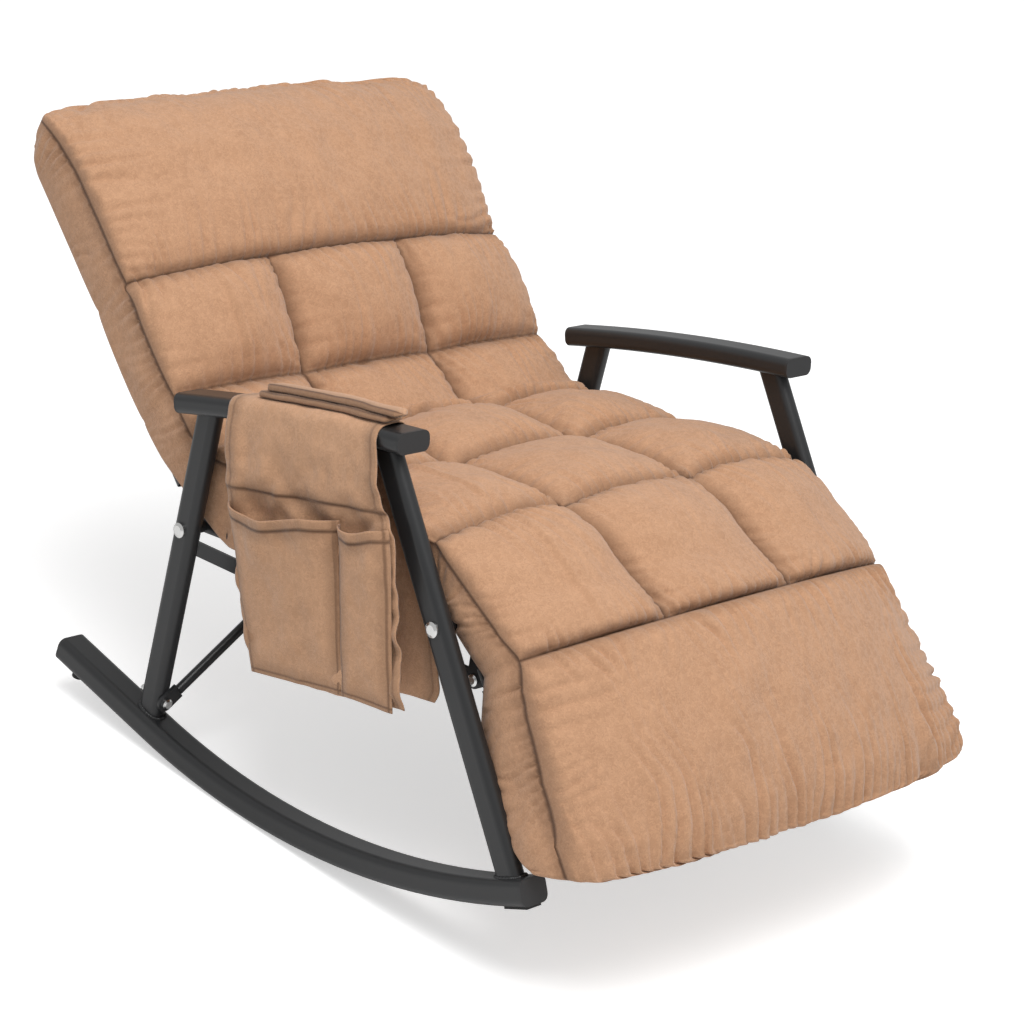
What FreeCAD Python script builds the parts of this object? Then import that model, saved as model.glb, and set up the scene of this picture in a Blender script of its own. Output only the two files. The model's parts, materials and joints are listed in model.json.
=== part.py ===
"""Rocking recliner with a quilted cushion, on two bent steel runners.

Millimetres, +Z up, +X to the right of someone who faces the front, and the front faces -Y.
The pieces are laid out with the armrests level, in the side plane (y, z), and then the whole
chair is rocked back about the centre of its runners until it balances on them. The origin is
the point of the floor under that centre, midway between the runners.
"""

import FreeCAD, Part
import math
import os

import Sketcher
from FreeCAD import Placement, Rotation, Vector

doc = FreeCAD.newDocument("rocking_recliner")

# Driving dimensions: alias, value, what it is
SIZES = [
    ("rock_back", 14.8, "degrees from level armrests to the balanced rest"),
    ("side_plane", 330, "middle of each side frame from the chair's middle"),
    ("runner_radius", 986, "underside of the runners"),
    ("runner_low_y", -292, "lowest point of the runners with level armrests"),
    ("runner_width", 40, "across the tube"),
    ("runner_height", 30, "of the tube"),
    ("runner_corner", 9, "outer corner radius"),
    ("runner_front_angle", 12.75, "degrees of arc in front of the lowest point"),
    ("runner_rear_angle", 24.1, "degrees of arc behind the lowest point"),
    ("runner_tail", 166.6, "straight length behind the arc"),
    ("tube_wall", 1.6, "wall of the runners, legs and armrests"),
    ("leg_depth", 34, "flat-oval tube, along the chair"),
    ("leg_width", 20, "flat-oval tube, across the chair"),
    ("leg_corner", 9.5, "outer corner radius"),
    ("front_leg_foot_y", -468.6, ""),
    ("front_leg_foot_z", 66, ""),
    ("front_leg_head_y", -295.4, ""),
    ("front_leg_head_z", 486.9, ""),
    ("rear_leg_foot_y", 114.4, ""),
    ("rear_leg_foot_z", 99, ""),
    ("rear_leg_head_y", -5.8, ""),
    ("rear_leg_head_z", 482.4, ""),
    ("armrest_width", 48, ""),
    ("armrest_height", 24, ""),
    ("armrest_corner", 9, "outer corner radius"),
    ("armrest_length", 356, "without its end plugs"),
    ("armrest_middle_y", -153, ""),
    ("armrest_middle_z", 506, "axis, at the middle of its arch"),
    ("armrest_arch", 2700, "radius of the arch along its length"),
    ("plug_flange", 3.5, "visible thickness of an end plug"),
    ("plug_spigot", 14, "length of a plug inside its tube"),
    ("plug_fit", 0.3, "clearance of a plug in its tube"),
    ("pad_thickness", 3, "rubber pad under a runner's front end"),
    ("pad_length", 34, ""),
    ("bumper_radius", 8, "rubber stub under a runner's rear end"),
    ("bumper_length", 11, ""),
    ("bumper_inset", 24, "from the runner's rear end"),
    ("rail_inset", 34, "seat tube's middle inside the side frame's middle"),
    ("rail_x", "=side_plane - rail_inset", "seat tube from the chair's middle"),
    ("frame_tube", 22, "diameter of the seat, back and leg-rest tubes"),
    ("frame_wall", 1.5, ""),
    ("cross_tube", 19, "diameter of the cross bars"),
    ("front_bolt_y", -371, "bolt through front leg and seat tube"),
    ("front_bolt_z", 302.5, ""),
    ("rear_bolt_y", 38.4, "bolt through rear leg and seat tube"),
    ("rear_bolt_z", 349, ""),
    ("bolt_shank", 8, "diameter"),
    ("bolt_hole", 8.6, "diameter"),
    ("bolt_head", 18, "diameter"),
    ("bolt_head_height", 4.5, ""),
    ("nut_size", 14, "across the corners, hexagonal"),
    ("nut_height", 6.5, ""),
    ("spacer_size", 16, "diameter of the spacer between leg and seat tube"),
    ("back_hinge_behind", 49.3, "back hinge behind the rear bolt, along the seat"),
    ("leg_hinge_ahead", 16, "leg-rest hinge ahead of the front bolt, along the seat"),
    ("leg_hinge_below", 22, "and below the seat tube's axis"),
    ("back_angle", 57.2, "degrees of the back above level"),
    ("leg_rest_angle", 62.9, "degrees of the leg rest below level"),
    ("rail_rear_gap", 24, "seat tube's end ahead of the back hinge"),
    ("rail_front_reach", 14, "seat tube past the front bolt"),
    ("plate", 4, "thickness of hinge plates and links"),
    ("plate_weld", 12, "how far a moving plate is welded along its tube"),
    ("plate_gap", 0.4, "side clearance between plates that turn"),
    ("weld_gap", 0.2, "between a plate and the tube that it is welded to"),
    ("pin_size", 10, "diameter of a hinge pin"),
    ("pin_play", 0.05, "radial clearance of a pin in its hole"),
    ("link_pin_size", 8, "diameter of a link's pin"),
    ("link_play", 0.3, "radial clearance of a link's front eye"),
    ("pin_head", 3, "height of a pin's head"),
    ("crank", 45, "hinge to link pin"),
    ("crank_angle", -75.9, "degrees of the crank above level"),
    ("link_width", 16, ""),
    ("back_tube_above", 24, "back tube's axis in front of the back hinge line"),
    ("back_tube_start", 28, "from the back hinge, along the back"),
    ("back_tube_end", 474, "top bar's axis from the back hinge"),
    ("back_bend", 60, "bend radius of the back tube"),
    ("back_bar_at", 62, "lower cross bar of the back"),
    ("leg_tube_above", 8, "leg-rest tube's axis in front of its hinge line"),
    ("leg_tube_start", 27, "from the leg-rest hinge"),
    ("leg_tube_end", 232, "front bar's axis from the leg-rest hinge"),
    ("leg_bend", 50, "bend radius of the leg-rest tube"),
    ("rear_bar_at", 82, "rear cross bar from the back hinge, along the seat"),
    ("front_bar_at", 405, "front cross bar from the back hinge, along the seat"),
    ("brace_size", 12, "diameter of a brace rod"),
    ("brace_foot", 40, "brace's foot bolt above the rear leg's foot"),
    ("brace_head_x", 75, "brace's head bolt from the chair's middle"),
    ("brace_head_up", 243, "brace's head bolt above the rear leg's foot"),
    ("brace_tab", 4, "thickness of a brace's flattened end"),
    ("sling", 2, "thickness of the woven slings"),
    ("sling_gap", 0.4, "between a sling's hem and its tube"),
    ("cushion_leg_gap", 9, "between the quilt's edge seam and the legs"),
    ("cushion_tuck", 5, "how much narrower the quilt is underneath, on each side"),
    ("quilt_gap", 0.3, "between neighbouring cushions, and above a sling"),
    ("seam_height", 82, "quilt's edge seam above the tubes' hinge line"),
    ("row_crown", 26, "how far a tile puffs over its seams"),
    ("head_bow", 28, "bow of the seam under the head roll, over the quilt's width"),
    ("knee_bow", 34, "bow of the seam above the leg pad"),
    ("seat_bow", 4, "bow of the seat's seams"),
    ("tile_depth", 9, "how far a tuft line lies under the crown"),
    ("lumbar_end", 99, "seam behind the seat, from the back hinge"),
    ("seat_seam", 250, "seam between the two seat rows"),
    ("seat_end", 426, "front seam of the seat"),
    ("back_start", 115, "lowest seam of the back, from the back hinge"),
    ("head_seam", 262, "seam under the head roll"),
    ("head_end", 526, "top of the head roll"),
    ("leg_pad_start", 38, "upper seam of the leg pad, from its hinge"),
    ("leg_pad_end", 292, "lower end of the leg pad"),
    ("bag_cloth", 2.4, "thickness of the side bag's cloth"),
    ("bag_outer_out", 30, "outer panel from the side frame's middle"),
    ("bag_inner_in", 13, "inner panel from the side frame's middle"),
    ("pocket_depth", 24, "depth of a pocket's mouth"),
    ("pocket_mouth_z", 405, ""),
    ("pocket_floor_z", 214, ""),
]

sheet = doc.addObject("Spreadsheet::Sheet", "Sizes")
for row, (alias, number, note) in enumerate(SIZES, start=1):
    sheet.set(f"A{row}", alias)
    sheet.set(f"B{row}", str(number))
    sheet.set(f"C{row}", note)
    sheet.setAlias(f"B{row}", alias)
doc.recompute()


class Named:
    """The sheet's numbers by alias."""

    def __getattr__(self, alias):
        return float(getattr(sheet, alias))


S = Named()
PIECES = []
SIDES = (("left", -1), ("right", 1))


def value(expression):
    """The number that an expression on the sheet gives."""
    result = sheet.evalExpression(expression)
    return float(getattr(result, "Value", result))


# Lines in the side plane


class Line:
    """A line in the side plane, from an origin at an angle, with a side that counts as above."""

    def __init__(self, origin, degrees, above):
        self.origin = origin
        self.angle = math.radians(degrees)
        self.above = above

    def at(self, along, above=0.0):
        """(y, z) of a point given along the line and above it."""
        c, s = math.cos(self.angle), math.sin(self.angle)
        y = self.origin[0] + along * c - self.above * above * s
        z = self.origin[1] + along * s + self.above * above * c
        return y, z

    def flat(self, along=0.0, above=0.0, x=0.0):
        """Placement whose X runs along the line and whose Y points above it."""
        y, z = self.at(along, above)
        turn = Rotation(Vector(1, 0, 0), math.degrees(self.angle))
        lay = Rotation(Vector(0, 1, 0), 90).multiply(Rotation(Vector(0, 0, 1), 90))
        if self.above < 0:
            lay = lay.multiply(Rotation(Vector(1, 0, 0), 180))
        return Placement(Vector(x, y, z), turn.multiply(lay))

    def upright(self, along=0.0, above=0.0, x=0.0):
        """Placement whose Y runs along the line and whose Z points above it."""
        y, z = self.at(along, above)
        turn = Rotation(Vector(1, 0, 0), math.degrees(self.angle))
        if self.above < 0:
            turn = turn.multiply(Rotation(Vector(0, 1, 0), 180))
        return Placement(Vector(x, y, z), turn)


def toward(start, end):
    """Degrees above level of the direction from start to end."""
    return math.degrees(math.atan2(end[1] - start[1], end[0] - start[0]))


front_bolt = (S.front_bolt_y, S.front_bolt_z)
rear_bolt = (S.rear_bolt_y, S.rear_bolt_z)
seat_slope = toward(rear_bolt, front_bolt)
back_hinge = Line(rear_bolt, seat_slope, -1).at(-S.back_hinge_behind)
SEAT = Line(back_hinge, seat_slope, -1)
BACK = Line(back_hinge, S.back_angle, 1)
leg_hinge = Line(front_bolt, seat_slope, -1).at(S.leg_hinge_ahead, -S.leg_hinge_below)
LEG_REST = Line(leg_hinge, 180 + S.leg_rest_angle, -1)
seat_length = math.dist(back_hinge, front_bolt)

runner_centre = (S.runner_low_y, S.runner_radius)
ROCK = Placement(Vector(0, 0, S.runner_radius), Rotation(Vector(1, 0, 0), -S.rock_back)).multiply(
    Placement(Vector(0, -runner_centre[0], -runner_centre[1]), Rotation())
)


# Pieces and features


def keep(shape_object, label):
    """Name a finished piece, rock it back with the chair and list it for export."""
    shape_object.Label = label
    shape_object.Placement = ROCK.multiply(shape_object.Placement)
    PIECES.append(shape_object)
    return shape_object


def new_body(name, placement=None):
    body = doc.addObject("PartDesign::Body", name)
    if placement is not None:
        body.Placement = placement
    return body


def origin_plane(body, role):
    return [f for f in body.Origin.OriginFeatures if f.Role == role][0]


def new_sketch(body, name, role, offset=None):
    sketch = body.newObject("Sketcher::SketchObject", name)
    sketch.AttachmentSupport = [(origin_plane(body, role), "")]
    sketch.MapMode = "FlatFace"
    if offset is not None:
        sketch.AttachmentOffset = offset
    return sketch


def bind(sketch, constraint, name, expression):
    """Add a dimension to a sketch and bind it to the sheet."""
    index = sketch.addConstraint(constraint)
    sketch.renameConstraint(index, name)
    sketch.setExpression(f"Constraints.{name}", expression)


def add_line(sketch, start, end):
    return sketch.addGeometry(Part.LineSegment(Vector(*start, 0), Vector(*end, 0)), False)


def add_arc(sketch, centre, radius, first, last):
    circle = Part.Circle(Vector(*centre, 0), Vector(0, 0, 1), radius)
    arc = Part.ArcOfCircle(circle, math.radians(first), math.radians(last))
    return sketch.addGeometry(arc, False)


def sketch_circle(sketch, name, diameter, centre=(0, 0)):
    """A circle of a bound diameter; its centre is (x, y) as numbers, or 0, 0 for the origin."""
    radius = value(diameter) / 2
    circle = Part.Circle(Vector(*centre, 0), Vector(0, 0, 1), radius)
    index = sketch.addGeometry(circle, False)
    if centre == (0, 0):
        sketch.addConstraint(Sketcher.Constraint("Coincident", index, 3, -1, 1))
    else:
        sketch.addConstraint(Sketcher.Constraint("DistanceX", -1, 1, index, 3, centre[0]))
        sketch.addConstraint(Sketcher.Constraint("DistanceY", -1, 1, index, 3, centre[1]))
    bind(sketch, Sketcher.Constraint("Diameter", index, 2 * radius), name, diameter)


def sketch_rounded(sketch, tag, width, height, corner):
    """A rounded rectangle about the origin, with its width, height and corner radius bound."""
    w, h, r = value(width), value(height), value(corner)
    x, y = w / 2, h / 2
    runs = [
        ((r - x, -y), (x - r, -y)),
        ((x, r - y), (x, y - r)),
        ((x - r, y), (r - x, y)),
        ((-x, y - r), (-x, r - y)),
    ]
    corners = [(x - r, r - y), (x - r, y - r), (r - x, y - r), (r - x, r - y)]
    lines, arcs = [], []
    for i in range(4):
        lines.append(add_line(sketch, *runs[i]))
        arcs.append(add_arc(sketch, corners[i], r, 90 * i - 90, 90 * i))
    for i in range(4):
        following = lines[(i + 1) % 4]
        sketch.addConstraint(Sketcher.Constraint("Tangent", lines[i], 2, arcs[i], 1))
        sketch.addConstraint(Sketcher.Constraint("Tangent", arcs[i], 2, following, 1))
    for i, way in ((0, "Horizontal"), (2, "Horizontal"), (1, "Vertical"), (3, "Vertical")):
        sketch.addConstraint(Sketcher.Constraint(way, lines[i]))
    for arc in arcs[1:]:
        sketch.addConstraint(Sketcher.Constraint("Equal", arcs[0], arc))
    sketch.addConstraint(Sketcher.Constraint("Symmetric", arcs[0], 3, arcs[2], 3, -1, 1))
    across = Sketcher.Constraint("DistanceX", lines[3], 1, lines[1], 1, w)
    bind(sketch, across, f"{tag}_width", width)
    upward = Sketcher.Constraint("DistanceY", lines[0], 1, lines[2], 1, h)
    bind(sketch, upward, f"{tag}_height", height)
    bind(sketch, Sketcher.Constraint("Radius", arcs[0], r), f"{tag}_corner", corner)


def sketch_tube(sketch, width, height, corner, wall="Sizes.tube_wall"):
    """The section of a rounded tube, outside and inside."""
    sketch_rounded(sketch, "outer", width, height, corner)
    sketch_rounded(
        sketch,
        "inner",
        f"{width} - 2 * {wall}",
        f"{height} - 2 * {wall}",
        f"{corner} - {wall}",
    )


def sketch_ring(sketch, diameter, wall="Sizes.frame_wall"):
    """The section of a round tube."""
    sketch_circle(sketch, "outer", diameter)
    sketch_circle(sketch, "inner", f"{diameter} - 2 * {wall}")


def sketch_lobes(sketch, lobes):
    """The outline of a plate that joins discs (x, y, radius), listed anticlockwise."""
    count = len(lobes)
    arcs, lines, tangents = [], [], []
    for i in range(count):
        (x0, y0, r0), (x1, y1, r1) = lobes[i], lobes[(i + 1) % count]
        run = math.hypot(x1 - x0, y1 - y0)
        normal = math.atan2(y1 - y0, x1 - x0) - math.pi / 2 + math.asin((r0 - r1) / run)
        tangents.append(normal)
    for i in range(count):
        x0, y0, r0 = lobes[i]
        first, last = tangents[i - 1], tangents[i]
        while last < first:
            last += 2 * math.pi
        arcs.append(add_arc(sketch, (x0, y0), r0, math.degrees(first), math.degrees(last)))
    for i in range(count):
        (x0, y0, r0), (x1, y1, r1) = lobes[i], lobes[(i + 1) % count]
        n = Vector(math.cos(tangents[i]), math.sin(tangents[i]), 0)
        start = (x0 + r0 * n.x, y0 + r0 * n.y)
        end = (x1 + r1 * n.x, y1 + r1 * n.y)
        lines.append(add_line(sketch, start, end))
    for i in range(count):
        following = arcs[(i + 1) % count]
        sketch.addConstraint(Sketcher.Constraint("Tangent", arcs[i], 2, lines[i], 1))
        sketch.addConstraint(Sketcher.Constraint("Tangent", lines[i], 2, following, 1))
    for arc, (x0, y0, r0) in zip(arcs, lobes):
        sketch.addConstraint(Sketcher.Constraint("DistanceX", -1, 1, arc, 3, x0))
        sketch.addConstraint(Sketcher.Constraint("DistanceY", -1, 1, arc, 3, y0))
        sketch.addConstraint(Sketcher.Constraint("Radius", arc, r0))


def pad(body, sketch, length, name="run", midplane=False):
    feature = body.newObject("PartDesign::Pad", name)
    feature.Profile = sketch
    feature.setExpression("Length", length)
    if midplane:
        feature.SideType = "Symmetric"
    return feature


def drill(body, name, holes, length, role="XY_Plane"):
    """Holes (diameter, centre) through a body, both ways from an origin plane."""
    sketch = new_sketch(body, f"{name}_holes", role)
    for number, (diameter, centre) in enumerate(holes):
        sketch_circle(sketch, f"hole{number}", diameter, centre)
    feature = body.newObject("PartDesign::Pocket", name)
    feature.Profile = sketch
    feature.SideType = "Symmetric"
    feature.setExpression("Length", length)
    return feature


def sweep(body, name, section, spine):
    """A pipe of a section along a spine that starts where the section lies."""
    doc.recompute()
    feature = body.newObject("PartDesign::AdditivePipe", name)
    feature.Profile = section
    edges = [f"Edge{i + 1}" for i in range(len(spine.Shape.Edges))]
    feature.Spine = (spine, edges)
    return feature


def arc_spine(body, name, turn, radius, tail=None, backward=False, downward=False):
    """A spine in the side plane from the origin: an arc tangent to Y, then a straight tail."""
    offset = Placement(
        Vector(),
        Rotation(Vector(0, 1, 0), 180 if backward else 0).multiply(
            Rotation(Vector(1, 0, 0), 180 if downward else 0)
        ),
    )
    sketch = new_sketch(body, name, "YZ_Plane", offset)
    r, degrees = value(radius), value(turn)
    arc = add_arc(sketch, (0, r), r, -90, degrees - 90)
    sketch.addConstraint(Sketcher.Constraint("Coincident", arc, 1, -1, 1))
    sketch.addConstraint(Sketcher.Constraint("PointOnObject", arc, 3, -2))
    bind(sketch, Sketcher.Constraint("Radius", arc, r), "radius", radius)
    sweep_angle = Sketcher.Constraint("Angle", arc, math.radians(degrees))
    bind(sketch, sweep_angle, "turn", f"{turn} * 1 deg")
    if tail:
        length = value(tail)
        a = math.radians(degrees)
        end = (r * math.sin(a), r - r * math.cos(a))
        far = (end[0] + length * math.cos(a), end[1] + length * math.sin(a))
        line = add_line(sketch, end, far)
        sketch.addConstraint(Sketcher.Constraint("Tangent", arc, 2, line, 1))
        bind(sketch, Sketcher.Constraint("Distance", line, length), "tail", tail)
    return sketch


def cylinder(name, radius, height, placement):
    """A round bar whose axis is its own Z."""
    bar = doc.addObject("Part::Cylinder", name)
    bar.setExpression("Radius", radius)
    bar.setExpression("Height", height)
    bar.Placement = placement
    return bar


def across(x, y, z):
    """Placement of a bar whose axis runs along +X from x."""
    return Placement(Vector(x, y, z), Rotation(Vector(0, 1, 0), 90))


def cut(name, base, tools):
    """Base with every tool taken away."""
    if len(tools) > 1:
        tool = doc.addObject("Part::MultiFuse", f"{name}_tools")
        tool.Shapes = tools
    else:
        tool = tools[0]
    result = doc.addObject("Part::Cut", name)
    result.Base = base
    result.Tool = tool
    return result


def common(name, shapes):
    result = doc.addObject("Part::MultiCommon", name)
    result.Shapes = shapes
    return result


def fuse(name, shapes):
    result = doc.addObject("Part::MultiFuse", name)
    result.Shapes = shapes
    return result


def group(name, shapes):
    """Separate solids of one kind in one node."""
    result = doc.addObject("Part::Compound", name)
    result.Links = shapes
    return keep(result, name)


# Runners with their plugs, pads and stubs


def runner_frame(turn, depth=0.0, along=0.0, x=0.0):
    """Placement on a runner: Y along its run, Z into the bowl, depth above its underside."""
    a = math.radians(turn)
    r = S.runner_radius - depth
    y = runner_centre[0] + r * math.sin(a) + along * math.cos(a)
    z = runner_centre[1] - r * math.cos(a) + along * math.sin(a)
    return Placement(Vector(x, y, z), Rotation(Vector(1, 0, 0), turn))


def build_runner(label, x):
    middle = S.runner_height / 2
    body = new_body(f"runner_{label}", runner_frame(0, middle, 0, x))
    section = new_sketch(body, "section", "XZ_Plane")
    sketch_tube(section, "Sizes.runner_width", "Sizes.runner_height", "Sizes.runner_corner")
    radius = "Sizes.runner_radius - Sizes.runner_height / 2"
    rear = arc_spine(body, "rear_run", "Sizes.runner_rear_angle", radius, "Sizes.runner_tail")
    sweep(body, "rear_half", section, rear)
    front = arc_spine(body, "front_run", "Sizes.runner_front_angle", radius, backward=True)
    sweep(body, "front_half", section, front)
    keep(body, f"runner_{label}")


def build_plug(name, placement, width, height, corner):
    """A plug whose flange lies on the tube's end and whose spigot goes into it, along -Z."""
    body = new_body(name, placement)
    flange = new_sketch(body, "flange", "XY_Plane")
    sketch_rounded(flange, "flange", width, height, corner)
    pad(body, flange, "Sizes.plug_flange", "flange_pad")
    spigot = new_sketch(body, "spigot", "XY_Plane")
    inside = "2 * (Sizes.tube_wall + Sizes.plug_fit)"
    less = "(Sizes.tube_wall + Sizes.plug_fit)"
    sketch_rounded(
        spigot, "spigot", f"{width} - {inside}", f"{height} - {inside}", f"{corner} - {less}"
    )
    feature = pad(body, spigot, "Sizes.plug_spigot", "spigot_pad")
    feature.Reversed = True
    return body


def end_face(placement, forward):
    """Turn a placement so that its Z looks out of a tube's end, forward (-Y) or backward."""
    return placement.multiply(
        Placement(Vector(), Rotation(Vector(1, 0, 0), 90 if forward else -90))
    )


def build_runner_trim():
    plugs, pads, bumpers = [], [], []
    size = ("Sizes.runner_width", "Sizes.runner_height", "Sizes.runner_corner")
    middle = S.runner_height / 2
    for label, side in SIDES:
        x = side * S.side_plane
        front = end_face(runner_frame(-S.runner_front_angle, middle, 0, x), True)
        rear = end_face(runner_frame(S.runner_rear_angle, middle, S.runner_tail, x), False)
        plugs.append(build_plug(f"front_plug_{label}", front, *size))
        plugs.append(build_plug(f"rear_plug_{label}", rear, *size))

        half_turn = math.degrees(S.pad_length / 2 / S.runner_radius)
        at = runner_frame(half_turn - S.runner_front_angle, 0, 0, x)
        slab = doc.addObject("Part::Box", f"pad_slab_{label}")
        slab.setExpression("Length", "Sizes.runner_width - 2 * Sizes.runner_corner")
        slab.setExpression("Width", "Sizes.pad_length")
        slab.setExpression("Height", "2 * Sizes.pad_thickness")
        corner = Vector(S.runner_corner - S.runner_width / 2, -S.pad_length / 2, -S.pad_thickness)
        slab.Placement = at.multiply(Placement(corner, Rotation()))
        bowl = cylinder(
            f"pad_bowl_{label}",
            "Sizes.runner_radius",
            "2 * Sizes.runner_width",
            across(x - S.runner_width, *runner_centre),
        )
        pads.append(cut(f"pad_{label}", slab, [bowl]))

        at = runner_frame(S.runner_rear_angle, 0, S.runner_tail - S.bumper_inset, x)
        flip = Placement(Vector(), Rotation(Vector(1, 0, 0), 180))
        bumpers.append(
            cylinder(
                f"bumper_{label}",
                "Sizes.bumper_radius",
                "Sizes.bumper_length",
                at.multiply(flip),
            )
        )
    group("runner_end_plugs", plugs)
    group("front_floor_pads", pads)
    group("rear_bumpers", bumpers)


# Legs and armrests

FRONT_LEG = Line(
    (S.front_leg_foot_y, S.front_leg_foot_z),
    toward((S.front_leg_foot_y, S.front_leg_foot_z), (S.front_leg_head_y, S.front_leg_head_z)),
    1,
)
REAR_LEG = Line(
    (S.rear_leg_foot_y, S.rear_leg_foot_z),
    toward((S.rear_leg_foot_y, S.rear_leg_foot_z), (S.rear_leg_head_y, S.rear_leg_head_z)),
    1,
)
ARMREST_CENTRE = (S.armrest_middle_y, S.armrest_middle_z - S.armrest_arch)
LEG_SPARE = 30


def build_leg(name, line, x, bolt, brace):
    """A flat-oval tube between the runner's top and the armrest's underside."""
    head = (S.rear_leg_head_y, S.rear_leg_head_z) if brace else (S.front_leg_head_y, S.front_leg_head_z)
    length = math.dist(line.origin, head) + 2 * LEG_SPARE
    body = new_body(f"{name}_tube", line.flat(-LEG_SPARE, 0, x))
    section = new_sketch(body, "section", "YZ_Plane")
    sketch_tube(section, "Sizes.leg_depth", "Sizes.leg_width", "Sizes.leg_corner")
    pad(body, section, f"{length}")
    reach = "4 * Sizes.runner_width"
    start = x - 2 * S.runner_width
    inside_runner = cylinder(
        f"{name}_foot",
        "Sizes.runner_radius - Sizes.runner_height",
        reach,
        across(start, *runner_centre),
    )
    under_armrest = cylinder(
        f"{name}_head",
        "Sizes.armrest_arch - Sizes.armrest_height / 2",
        reach,
        across(start, *ARMREST_CENTRE),
    )
    trimmed = common(f"{name}_trimmed", [body, inside_runner, under_armrest])
    tools = [
        cylinder(f"{name}_bolt_hole", "Sizes.bolt_hole / 2", reach, across(start, *bolt)),
    ]
    if brace:
        at = line.upright(S.brace_foot, 2 * S.leg_depth, x)
        flip = Placement(Vector(), Rotation(Vector(1, 0, 0), 180))
        tools.append(
            cylinder(f"{name}_brace_hole", "Sizes.bolt_hole / 2", "4 * Sizes.leg_depth", at.multiply(flip))
        )
    keep(cut(name, trimmed, tools), name)


def build_armrest(label, x):
    at = Placement(Vector(x, S.armrest_middle_y, S.armrest_middle_z), Rotation())
    body = new_body(f"armrest_{label}", at)
    section = new_sketch(body, "section", "XZ_Plane")
    sketch_tube(section, "Sizes.armrest_width", "Sizes.armrest_height", "Sizes.armrest_corner")
    turn = "Sizes.armrest_length / 2 / Sizes.armrest_arch * 180 / pi"
    front = arc_spine(body, "front_run", turn, "Sizes.armrest_arch", None, True, True)
    sweep(body, "front_half", section, front)
    rear = arc_spine(body, "rear_run", turn, "Sizes.armrest_arch", None, False, True)
    sweep(body, "rear_half", section, rear)
    keep(body, f"armrest_{label}")


def build_armrest_plugs():
    plugs = []
    size = ("Sizes.armrest_width", "Sizes.armrest_height", "Sizes.armrest_corner")
    turn = math.degrees(S.armrest_length / 2 / S.armrest_arch)
    for label, side in SIDES:
        for end, forward in (("front", True), ("rear", False)):
            a = math.radians(-turn if forward else turn)
            y = ARMREST_CENTRE[0] + S.armrest_arch * math.sin(a)
            z = ARMREST_CENTRE[1] + S.armrest_arch * math.cos(a)
            at = Placement(
                Vector(side * S.side_plane, y, z),
                Rotation(Vector(1, 0, 0), -math.degrees(a)),
            )
            plugs.append(build_plug(f"{end}_cap_{label}", end_face(at, forward), *size))
    group("armrest_end_plugs", plugs)


# Seat frame


def along_seat(x, start, above=0.0):
    """Placement of a bar whose axis, Z, runs forward along the seat."""
    return SEAT.upright(start, above, x).multiply(
        Placement(Vector(), Rotation(Vector(1, 0, 0), -90))
    )


def build_rail(label, side):
    """A seat tube with its two bolt holes."""
    x = side * S.rail_x
    body = new_body(f"seat_tube_{label}", along_seat(x, S.rail_rear_gap))
    section = new_sketch(body, "section", "XY_Plane")
    sketch_ring(section, "Sizes.frame_tube")
    length = seat_length + S.rail_front_reach - S.rail_rear_gap
    pad(body, section, f"{length}")
    tools = []
    for number, bolt in enumerate((rear_bolt, front_bolt)):
        at = across(x - S.frame_tube, *bolt)
        hole = cylinder(
            f"rail_hole_{label}_{number}", "Sizes.bolt_hole / 2", "2 * Sizes.frame_tube", at
        )
        tools.append(hole)
    name = f"seat_rail_{label}"
    keep(cut(name, body, tools), name)


def coped_bar(name, at, half, diameter, sockets):
    """A cross tube of a half length, its ends cut to fit the round tubes that it meets."""
    body = new_body(f"{name}_tube", at)
    section = new_sketch(body, "section", "YZ_Plane")
    sketch_ring(section, diameter)
    pad(body, section, f"2 * {half}", midplane=True)
    return cut(f"{name}_coped", body, sockets)


def tube_sockets(name, line, tube_x, tube_above, at):
    """Round envelopes of the two side tubes where a cross bar meets them."""
    sockets = []
    for label, side in SIDES:
        placed = line.upright(at - S.frame_tube, tube_above, side * tube_x).multiply(
            Placement(Vector(), Rotation(Vector(1, 0, 0), -90))
        )
        sockets.append(
            cylinder(
                f"{name}_socket_{label}", "Sizes.frame_tube / 2", "2 * Sizes.frame_tube", placed
            )
        )
    return sockets


MOVING_TUBE_X = S.rail_x - S.plate - S.plate_gap


def build_cross_bars():
    """Front and rear bars of the seat; the rear one carries the two lugs of the braces."""
    front = coped_bar(
        "front_cross",
        SEAT.upright(S.front_bar_at),
        S.rail_x,
        "Sizes.cross_tube",
        tube_sockets("front_cross", SEAT, S.rail_x, 0, S.front_bar_at),
    )
    keep(front, "front_cross_bar")

    rear = coped_bar(
        "rear_cross",
        SEAT.upright(S.rear_bar_at),
        S.rail_x,
        "Sizes.cross_tube",
        tube_sockets("rear_cross", SEAT, S.rail_x, 0, S.rear_bar_at),
    )
    bar_y, bar_z = SEAT.at(S.rear_bar_at)
    lugs = []
    for label, side in SIDES:
        lug = new_body(
            f"brace_lug_{label}",
            BRACE.upright(S.brace_head_up, S.brace_tab, side * S.brace_head_x),
        )
        outline = new_sketch(lug, "outline", "XY_Plane")
        rise = math.dist((bar_y, bar_z), BRACE.at(S.brace_head_up, 1.5 * S.brace_tab))
        sketch_lobes(outline, [(0, 0, LUG_RADIUS), (0, rise, LUG_RADIUS)])
        pad(lug, outline, "Sizes.brace_tab")
        drill(lug, "bolt", [("Sizes.bolt_hole", (0, 0))], "4 * Sizes.brace_tab")
        lugs.append(lug)
    bore = cylinder(
        "rear_cross_bore",
        "Sizes.cross_tube / 2 - Sizes.frame_wall",
        "2 * Sizes.rail_x",
        across(-S.rail_x, bar_y, bar_z),
    )
    open_lugs = cut("brace_lugs", fuse("lug_pair", lugs), [bore])
    keep(fuse("rear_cross_whole", [rear, open_lugs]), "rear_cross_bar")


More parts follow.
